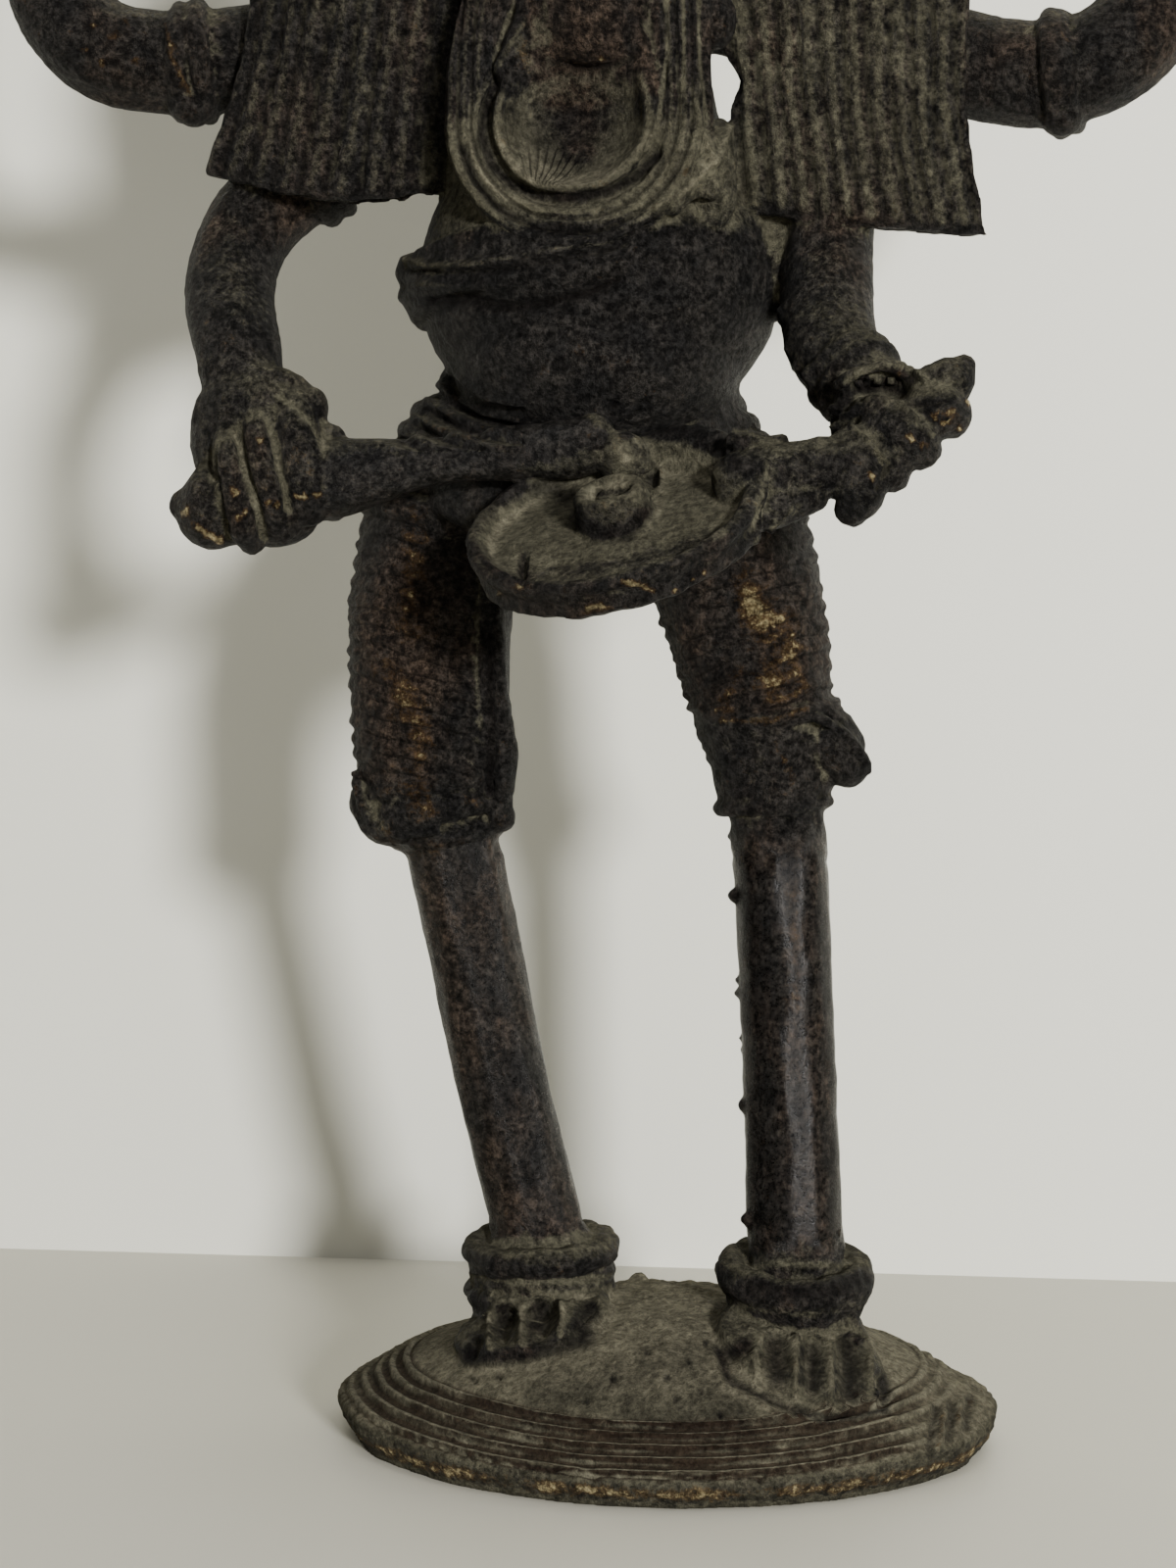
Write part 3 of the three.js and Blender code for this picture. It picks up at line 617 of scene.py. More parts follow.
def build_crown():
    centre = (-5.5, -1.0, 0)
    rise = (CROWN_TOP - 7 - CROWN_FOOT) / TIERS
    profile = [(0, CROWN_FOOT - 5), (CROWN_BAND - 0.6, CROWN_FOOT - 4.6), (CROWN_BAND + 0.1, CROWN_FOOT - 3),
               (CROWN_BAND - 0.2, CROWN_FOOT), (CROWN_RADIUS - 0.4, CROWN_FOOT + 0.3)]
    for i in range(TIERS):
        radius = CROWN_RADIUS * (1 - 0.74 * i / TIERS)
        profile += [(radius + 0.1, CROWN_FOOT + rise * i + 1.5), (radius - 0.9, CROWN_FOOT + rise * (i + 1) - 0.6)]
    profile += [(2.6, CROWN_TOP - 4), (1.6, CROWN_TOP - 1.4), (0, CROWN_TOP - 0.2)]
    turned(profile, centre, sides=90)
    for height, size in ((-4, 0.85), (-2.2, 0.75), (-0.6, 0.85)):
        hoop((centre[0], centre[1], CROWN_FOOT + height), (CROWN_BAND - 0.1, CROWN_BAND - 0.1), size)
    # a thick coil at the foot of each tier with wound threads above it, and a row of beads on the band
    for i in range(TIERS):
        radius = CROWN_RADIUS * (1 - 0.74 * i / TIERS)
        foot = CROWN_FOOT + rise * i + 1.4
        hoop((centre[0], centre[1], foot), (radius + 0.1, radius + 0.1), 0.8)
        for k in range(1, 4):
            r = radius - 0.9 * k / 4
            hoop((centre[0], centre[1], foot + k * 1.45), (r - 0.2, r - 0.2), 0.6, sides=10)
    for a in np.arange(14) * TAU / 14:
        egg((centre[0] + 12.2 * math.cos(a), centre[1] + 12.2 * math.sin(a), CROWN_FOOT + 1.1), (1.0, 1.0, 1.3),
            sides=14, rings=10)
    egg((centre[0], centre[1], CROWN_TOP - 3.4), (2.7, 2.7, 2.0))


# ---- arms and hands ----

RAISED_L = [(-16, 2, 143), (-33, 0, 141), (-49, -3, 138.7), (-57, -4, 140.3), (-61.5, -4, 146), (-62.6, -5, 154),
            (-61.8, -6, 162)]
RAISED_R = [(3, 2, 145), (20, 0, 139.6), (37, -3, 135), (43.6, -4, 136.8), (48.2, -4, 142.6), (50.2, -5, 151),
            (49, -6, 160)]
LOWER_L = [(-18, 2, 142), (-31, 0, 131), (-40.8, -2, 123.6), (-42.9, -6, 116.6), (-40.8, -12, 108.6),
           (-39.2, -14, 103)]
LOWER_R = [(1, 2, 146), (13, 0.5, 139.5), (16.4, -2.5, 125.5), (16.3, -6, 116.5), (17.3, -12.5, 107.5),
           (21.2, -17, 102.5)]


def build_arms():
    plain = [(0, 5), (1, 5), (2, 5.1), (3, 5), (4, 4.7), (5, 4.2), (6, 3.8)]
    for path, place, seed in ((RAISED_L, 1.92, 50), (RAISED_R, 2.24, 54)):
        roll(path, plain, sides=56, relief=streaks(0.22, seed), soft=0.4)
        coil_round(path, place - 0.09, 1.05, 5.2)
        coil_round(path, place + 0.06, 0.9, 5.1)
        coil_round(path, 5.3, 0.85, 4.1)
        coil_round(path, 5.5, 0.85, 4.0)
    # the thick tied ends of the armlets
    egg((-47.6, -4.6, 133.6), (2.1, 2.4, 1.6), turn=0.5)
    egg((38.6, -5.4, 130.0), (1.9, 2.2, 1.5))
    roll(LOWER_L, [(0, 4.4), (1, 4.4), (2, 4.6), (3, 4.4), (4, 4.2), (4.6, 4), (5, 3.8)], sides=56,
         relief=streaks(0.18, 58), soft=0.3)
    coil_round(LOWER_L, 1.35, 1.0, 4.7)
    coil_round(LOWER_L, 1.5, 1.0, 4.7)
    roll(LOWER_R, [(0, 4.2), (1, 4.3), (2, 4.3), (3, 4.5), (4, 4.3), (4.6, 3.9), (5, 3.6)], sides=56,
         relief=streaks(0.18, 62), soft=0.3)
    coil_round(LOWER_R, 1.3, 1.0, 4.7)
    for place in (4.4, 4.62):
        coil_round(LOWER_R, place, 0.75, 3.9)
    egg((12.8, -9.4, 111.4), (1.3, 1.2, 1.1))


def build_beater():
    # the stick: a pointed butt, a collar at the fist, and a shaft that swells to its end on the gong
    roll([(-46, -15.4, 93.4), (-43, -15.4, 93.2), (-30, -16, 95.8), (-20.8, -16.4, 97.2), (-8.8, -17, 98.1),
          (-4.6, -17.2, 98.8)],
         [(0, 1.2), (0.5, 3.0), (1, 4.3), (1.25, 4.0), (1.6, 3.6), (2.08, 3.8), (2.4, 3.1), (3, 2.2), (3.5, 2.3),
          (4, 2.8), (5, 2.8)],
         sides=48, soft=0.1, relief=lambda t, a, p: 0.12 * noise(p * (0.35, 1, 1), 1.2, 66))
    egg((-2.4, -17.8, 97.4), (2.6, 2.4, 2.4))
    # the fist: palm and back of the hand, three fingers that fan down the front, the thumb above
    egg((-38.2, -13.6, 99.4), (6.7, 5.0, 7.0))
    egg((-38.2, -14.2, 102.2), (6.0, 4.6, 4.4), turn=0.2)
    egg((-36.6, -14.8, 93.8), (5.0, 4.4, 4.6))
    for line, radii in (
            ([(-40.6, -16.0, 100.0), (-40.1, -18.4, 98.4), (-39.4, -19.4, 94.8), (-38.5, -18.9, 91.4),
              (-38.1, -16.6, 89.6)], [1.3, 1.6, 1.75, 1.7, 1.3]),
            ([(-37.4, -16.0, 103.0), (-37.1, -18.2, 101.2), (-36.4, -19.4, 97.2), (-35.7, -19.2, 93.2),
              (-35.3, -16.8, 90.6)], [1.2, 1.45, 1.55, 1.55, 1.3]),
            ([(-34.6, -15.2, 104.0), (-33.8, -17.2, 102.0), (-33.0, -18.2, 98.4), (-32.5, -18.2, 94.8),
              (-32.6, -16.8, 92.2)], [1.4, 1.9, 2.25, 2.2, 1.6])):
        plain_roll(line, radii, sides=20)
    plain_roll([(-44.2, -13.4, 99), (-42.6, -15.2, 103.0), (-38.6, -15.8, 105.2), (-34.6, -15.2, 104.4),
                (-32.4, -14.0, 101.6)], [1.0, 1.5, 1.6, 1.6, 1.2], sides=22)
    egg((-32.6, -15.6, 102.4), (1.7, 1.9, 2.2))
    egg((-30.8, -15.4, 99.8), (1.5, 1.6, 1.2))
    plain_roll([(-31.2, -13, 92.9), (-30.2, -16, 92.6), (-29.5, -18.6, 94.8), (-29.7, -17.6, 98.2)],
               [0.8, 0.9, 0.9, 0.7], sides=14)


GONG_CENTRE = np.array([-2.4, -26.0, 92.2])
GONG_UP = np.array([-0.193, -0.459, 0.868])
GONG_UP /= np.linalg.norm(GONG_UP)
GONG_ACROSS = np.cross((0, 1, 0), GONG_UP)
GONG_ACROSS /= np.linalg.norm(GONG_ACROSS)
GONG_BACK = np.cross(GONG_UP, GONG_ACROSS)


def on_gong(x, y, z):
    return GONG_CENTRE + GONG_ACROSS * x + GONG_BACK * y + GONG_UP * z


def gong_place(p):
    """A point's place on the gong: across, towards the back, and above its rim."""
    q = p - GONG_CENTRE
    return q @ GONG_ACROSS, q @ GONG_BACK, q @ GONG_UP


def build_gong():
    def warp(p):
        x, y, z = gong_place(p)
        r, a = np.hypot(x, y), np.arctan2(y, x)
        edge = smooth(r, 10, 12.6)
        ring = np.stack([np.cos(a) * 9, np.sin(a) * 9, np.zeros_like(a)], -1)
        swell = 1 + edge * (0.012 * noise(ring, 4, 70) + 0.007 * noise(ring, 1.4, 71))
        # the rim is thicker and higher at the back and right, where it carries the handle
        behind = np.exp(-(((a - 0.95) / 0.62) ** 2))
        lift = edge * (0.3 * noise(ring, 5, 72) + 0.14 * noise(ring, 1.5, 73)) + 1.5 * behind * edge * (z > -2.4)
        inner = 1 - 0.10 * behind * smooth(r, 9.5, 11.2) * (1 - smooth(r, 12.6, 13.6)) * (z > -2.4)
        dent = 0.1 * noise(np.stack([x, y, z], -1), 3, 74) * (z > -1.8)
        # the front of the face hangs lower, and its lip is uneven
        dent = (dent - 1.3 * smooth(-y, 1, 12) * smooth(z, -4.5, -2.5)
                + 0.25 * edge * noise(ring, 0.8, 78) * (z < -1.8))
        return (GONG_CENTRE + np.outer(x * swell * inner, GONG_ACROSS) + np.outer(y * swell * inner, GONG_BACK)
                + np.outer(z + lift + dent, GONG_UP))
    profile = [(0, -5.0), (10.6, -5.0), (12.2, -4.8), (13.1, -4.2), (13.6, -3.1), (13.3, -2.1), (13.1, -1.7),
               (13.6, -1.1), (14.0, -0.4), (13.8, 0.2), (13.3, 0.5), (12.7, 0.4), (12.3, -0.1), (12.0, -0.9),
               (11.5, -1.3), (6, -1.3), (0, -1.3)]
    turned(profile, GONG_CENTRE, up=GONG_UP, sides=180, step=0.3, bend=warp)
    # the boss: a drum of stacked coils, the top one ending in a curl
    turned([(0, -2), (3.1, -2), (3.2, 0.6), (2.4, 0.8), (1.2, 0.2), (0, 0.1)], GONG_CENTRE, up=GONG_UP, sides=60)
    for height, radius in ((-0.9, 3.0), (0.15, 2.95)):
        path = [on_gong(radius * math.cos(b), radius * math.sin(b), height) for b in np.linspace(0.2, 6.3, 22)]
        plain_roll(path, [0.75] * 22, sides=16, step=0.35)
    turns = np.linspace(0.3, 6.4, 18)
    path = [on_gong(2.75 * math.cos(b), 2.75 * math.sin(b), 1.2) for b in turns]
    path += [on_gong(1.6, 0.5, 1.15), on_gong(0.3, 1.0, 1.0), on_gong(-0.7, 0.5, 0.9), on_gong(-0.5, -0.4, 0.8)]
    plain_roll(path, [0.75] * 18 + [0.65, 0.6, 0.6, 0.5], sides=14, step=0.35)
    # the handle and its gusset, with wax threads that tie them to the rim
    plain_roll([(8.2, -25.2, 94.1), (11, -25, 94.6), (14.6, -24.6, 95.3), (18.2, -23.8, 95.8), (20.4, -22.2, 96.2)],
               [2.8, 3.0, 2.7, 2.9, 3.0], sides=36, relief=lambda t, a, p: 0.18 * noise(p, 1.6, 75))
    plain_roll([(9.4, -27, 90.9), (12.6, -26.2, 91.9), (16, -25, 93.2)], [1.5, 1.8, 1.4], sides=24)
    thread([(8.0, -23.6, 98.4), (10.6, -23.8, 98.0), (13.0, -23.4, 98.2)], 0.7)


def build_gong_hand():
    egg((20.8, -18.6, 100.2), (3.8, 4.0, 5.2))
    egg((21.4, -20.4, 97.6), (3.0, 3.0, 3.4))
    # the thumb: a leaf that stands up to the right, broad where it meets the first finger
    plain_roll([(21.8, -19.4, 101.0), (24.4, -20.6, 101.8), (27.0, -21.6, 102.9), (28.6, -21.8, 104.3),
                (29.4, -21.8, 105.2)], [1.9, 2.2, 2.6, 2.0, 0.9], sides=28, deep=0.8)
    def finger(line, radii):
        plain_roll(line, radii, sides=24, step=0.35, relief=lambda t, a, p: 0.1 * noise(p, 1.2, 77))
    finger([(22.4, -21.6, 101.0), (25, -22.8, 100.6), (27.4, -23.2, 100.4), (28.6, -23.0, 100.0)],
           [2.0, 2.4, 2.6, 1.8])
    finger([(21.4, -22.6, 100.4), (23.4, -24.0, 99.0), (25.0, -24.2, 97.6), (25.8, -23.8, 96.6)],
           [1.9, 2.2, 2.35, 1.5])
    finger([(20.2, -23.2, 98.4), (21.8, -24.2, 96.6), (22.8, -24.2, 95.0), (23.0, -23.8, 94.2)],
           [1.8, 1.9, 1.8, 1.2])
    finger([(18.8, -23.2, 98.2), (19.8, -24.8, 96.0), (20.0, -25.2, 93.4), (18.9, -24.4, 91.4)],
           [1.8, 2.1, 2.2, 1.5])
    # bangle at the wrist, open towards the front
    thread([(17.6, -21.0, 103.4), (19.2, -22.2, 104.2), (21.4, -22.2, 104.6), (23.6, -20.8, 104.4),
            (25.0, -18.6, 103.4)], 0.65)
    thread([(17.2, -20.4, 101.4), (18.6, -22.4, 100.8), (20.8, -23.0, 101.6)], 0.6)


def build_raised_hands():
    for x, z, way in ((-61.6, 167.0, 1), (48.8, 165.0, -1)):
        egg((x, -5.6, z), (4.2, 4.0, 4.6))
        for i in range(4):
            height = z + 3.1 - 2.05 * i
            plain_roll([(x - way * 3.6, -6.4, height + 0.3), (x - way * 2.4, -9.6, height),
                        (x + way * 0.6, -10.7, height - 0.2), (x + way * 3.2, -9.2, height - 0.2),
                        (x + way * 3.9, -6.6, height)], [1.0, 1.15, 1.2, 1.15, 0.9], sides=18)
        plain_roll([(x + way * 3.6, -5.4, z - 2), (x + way * 3.9, -8, z + 1.5), (x + way * 1.8, -9.6, z + 4.8)],
                   [1.1, 1.3, 1.1], sides=18)
    # the elephant goad on the left: a spiked shaft with a hook
    x, y, z = -61.6, -6.4, 167.0
    plain_roll([(x, y, z - 7), (x + 0.2, y, z + 8), (x + 0.4, y, z + 17)], [1.7, 1.6, 0.9], sides=24)
    plain_roll([(x, y, z + 9), (x + 3, y, z + 11.6), (x + 5.2, y, z + 11), (x + 5.4, y, z + 7.4)],
               [1.5, 1.4, 1.2, 0.7], sides=20)
    hoop((x + 0.2, y, z + 7.4), (1.5, 1.5), 0.6)
    hoop((x + 0.2, y, z + 9), (1.5, 1.5), 0.6)
    # the lotus bud on the right: a stalk and petals in rolled wax
    x, z = 48.8, 165.0
    plain_roll([(x, y, z - 7), (x, y, z + 7)], [1.6, 1.5], sides=24)
    turned([(0, 171), (2.3, 172.4), (3.4, 175), (2.3, 179.3), (0, 182.8)], (x, y, 0), sides=48)
    for a in np.arange(6) * TAU / 6:
        c, s = math.cos(a), math.sin(a)
        plain_roll([(x + 1.8 * c, y + 1.8 * s, 171.6), (x + 3.3 * c, y + 3.3 * s, 174.6),
                    (x + 2.3 * c, y + 2.3 * s, 178.4), (x + 0.7 * c, y + 0.7 * s, 181.6)],
                   [0.8, 1.0, 0.8, 0.6], sides=14)


def build_flaws():
    """Small beads of metal where the mould was pitted, mostly on edges that face inwards."""
    spots = []
    for _ in range(16):
        z = rng.uniform(66, 97)
        x, y = leg_axis(LINE_R, z)
        girth = np.interp(z, [66, 73, 83, 91, 97], [5.5, 6.9, 8.1, 8.5, 7.6])
        spots.append((x - girth, y + rng.uniform(-2, 2), z))
    for _ in range(9):
        z = rng.uniform(22, 62)
        x, y = leg_axis(LINE_R, z)
        spots.append((x - 4.7, y + rng.uniform(-2, 1), z))
    for _ in range(14):
        z = rng.uniform(104, 113)
        at = curve(LOWER_R, [np.interp(-z, [-113, -104], [3.4, 4.7])])[0]
        spots.append((at[0] - 4.3, at[1] + rng.uniform(-2, 2), at[2]))
    for _ in range(26):
        a = rng.uniform(0, TAU)
        x, y = 33 * math.cos(a), 25.3 * math.sin(a)
        spots.append((x * 0.985, y * 0.985, float(dome(x, y)) * rng.uniform(0.4, 1.0)))
    for spot in spots:
        size = rng.uniform(0.4, 0.75)
        egg(spot, (size, size, size * rng.uniform(0.7, 1.1)), sides=10, rings=7)


for build in (build_base, build_feet, build_legs, build_body, build_bib, build_ears, build_head, build_crown,
              build_arms, build_beater, build_gong, build_gong_hand, build_raised_hands, build_flaws):
    build()


# ---- fine lines that are drawn into the skin ----

RIB_RISE, RIB_GROOVE, WOUND_DEPTH, SCALE_DEPTH = 0.62, 0.2, 0.31, 0.16  # millimetres
RIB_WIDTH = 0.23  # a share of the way from one rib to the next


def fine_lines(p, normal):
    """Heights of the fine wax lines, and their counts and masks by kind: ribs, wound threads and flutes."""
    x, y, z = p.T
    height, phase = np.zeros(len(p)), np.zeros(len(p))
    ribbed, wound, fluted = (np.zeros(len(p)) for _ in range(3))

    # ribs along the base's rim, worn at its right end
    k = np.nonzero((z < dome(x, y) + 0.8) & (z > 1.2) & (rim_share(x, y) < 1.0) & (normal[:, 2] > -0.35))[0]
    q = p[k]
    phase[k] = rib_phase(q)
    worn = 1 - 0.8 * smooth(x[k] + 3 * noise(q, 6, 5), 22, 29) - 0.5 * smooth(-x[k] + 3 * noise(q, 6, 6), 28, 32)
    ribbed[k] = smooth(phase[k], -0.5, -0.3) * (1 - smooth(phase[k], 4.3, 4.6)) * np.clip(worn, 0, 1)
    crest = np.abs(phase[k] - np.round(phase[k]))
    height[k] += ribbed[k] * (RIB_RISE * np.exp(-((crest / RIB_WIDTH) ** 2)) - RIB_GROOVE)

    # threads wound round the trousers
    for line, slope, low, side in ((LINE_L, 0.24, 65.6, -1), (LINE_R, -0.3, 72.4, 1)):
        ax, ay = leg_axis(line, z)
        out = np.hypot(x - ax, y - ay)
        k = np.nonzero((z > low) & (z < 100) & (out > 6.4) & (out < 9.7) & (side * (x + 7) > 0)
                       & ((normal[:, 0] * (x - ax) + normal[:, 1] * (y - ay)) > 0.25 * out))[0]
        q, dx, dy = p[k], (x - ax)[k], (y - ay)[k]
        phase[k] = winding(q, line, slope)
        mask = smooth(z[k], low, low + 1.2) * (1 - smooth(z[k], 97, 100))
        if side < 0:
            mask = mask * (1 - smooth(dx, 4.6, 6.2) * smooth(-dy, -6, -2))
        wound[k] = mask
        worn = smooth(-dy / 8, 0.2, 0.9) * smooth(side * dx / 8 + 0.25 * noise(q, 4, 8), -0.25, 0.25)
        depth = WOUND_DEPTH * (1 - 0.3 * worn) * np.clip(1 + 0.9 * noise(q, 3.2, 9), 0.15, 1.6)
        scales = SCALE_DEPTH * noise(q * (1, 1, 2.2), 1.5, 7)
        height[k] += mask * (depth * (shingle(phase[k]) - 0.5) + scales)

    # strands round the dish, running up beside the trunk
    on_bib = (y < -11.5) & (y > -19.5) & (normal[:, 1] < -0.2)
    outer = strand_radius(x, z, 1.9)
    k = np.nonzero(on_bib & (outer < 12.9) & (z > 114) & (z < 150))[0]
    r = strand_radius(x[k], z[k]) + 0.12 * noise(p[k], 5, 12)
    inside = smooth(r, 8.45, 8.75) * (1 - smooth(outer[k], 12.2, 12.6))
    phase[k] = np.where(inside > 0, (r - 9.15) / 1.32, phase[k])
    fluted[k] = np.maximum(fluted[k], inside)
    height[k] += inside * (0.5 * np.abs(np.cos(math.pi * phase[k])) ** 0.8 - 0.34) * (1 + 0.5 * noise(p[k], 4, 13))

    # fine rays that fan up from the dish's lower left
    k = np.nonzero(on_bib & (strand_radius(x, z, 1.0) < 7.2))[0]
    dx, dz = x[k] + 10.4, z[k] - 120.6
    lean, reach = np.degrees(np.arctan2(dx, dz)), np.hypot(dx, dz)
    rays = smooth(reach, 1.8, 3) * (1 - smooth(reach, 5.5, 7.5)) * smooth(lean, -24, -14) * (1 - smooth(lean, 38, 48))
    phase[k] = np.where(rays > 0, lean / 7.5, phase[k])
    fluted[k] = np.maximum(fluted[k], rays)

    # flutes down both faces of the ears
    for ear in EARS:
        near = (z > 118) & (z < 175) & (y < -3) & (y > -15.5) & (np.abs(normal[:, 1]) > 0.35)
        k = np.nonzero(near & (x > min(ear["left"]) - 1) & (x < max(ear["right"]) + 1))[0]
        u = np.full(len(k), 0.5)
        for _ in range(3):
            foot, top = along(ear["foot"], np.clip(u, 0, 1)), along(ear["top"], np.clip(u, 0, 1))
            w = (z[k] - foot) / (top - foot)
            left, right = along(ear["left"], np.clip(w, 0, 1)), along(ear["right"], np.clip(w, 0, 1))
            u = (x[k] - left) / (right - left)
        half = EAR_THICK * (1 - 0.3 * np.abs(2 * np.clip(u, 0, 1) - 1) ** 4)
        facing = -np.sign(normal[k, 1])
        off = np.abs(y[k] - (ear_middle(np.clip(u, 0, 1), w) - facing * half))
        mask = (1 - smooth(off, 0.35, 0.7)) * smooth(u, 0.0, 0.03) * (1 - smooth(u, 0.97, 1.0)) * smooth(w, 0.0, 0.02)
        q = p[k] * (1, 1, 0.28)
        count = ear["flutes"] * (u + 0.022 * noise(q, 5, 41) + 0.012 * noise(q, 2.2, 42))
        at = mask > 0.02
        phase[k[at]] = count[at]
        fluted[k[at]] = mask[at]
        strength = np.clip(0.75 + 0.7 * noise(q, 3.4, 46), 0.2, 1.2)
        ridge = 0.46 * np.abs(np.cos(math.pi * count)) ** 1.3 + 0.14 * np.abs(np.cos(TAU * count + 0.6)) ** 1.5
        height[k] += mask * (strength * (ridge - 0.28) + 0.13 * noise(q, 1.3, 44) + 0.07 * noise(p[k], 1.1, 48))
    return height, {"phase": phase, "ribbed": ribbed, "wound": wound, "fluted": fluted}


# Marks, each laid where the camera sees it: its line, half-width, rise in millimetres, and what it adds in
# dust, bare brass and painted shade. Each group keeps to a box of x, y and z, and to faces turned to the camera.
RIDGE, SPECK = (0.5, 0.9, 0, -0.6), (0.14, -0.6, 1.2, 0)
# the dip and the pit are darkened with painted shade
SHADED_DIP, SHADED_PIT = (-0.95, -0.5, 0, 0.75), (-0.9, -0.6, 0, 0.9)


def strokes(half, gives, *paths):
    """Marks of one kind and width along several lines."""
    return [(path, half, *gives) for path in paths]


def dots(half, gives, *places):
    """Marks of one kind and size at several places."""
    return strokes(half, gives, *([place] for place in places))


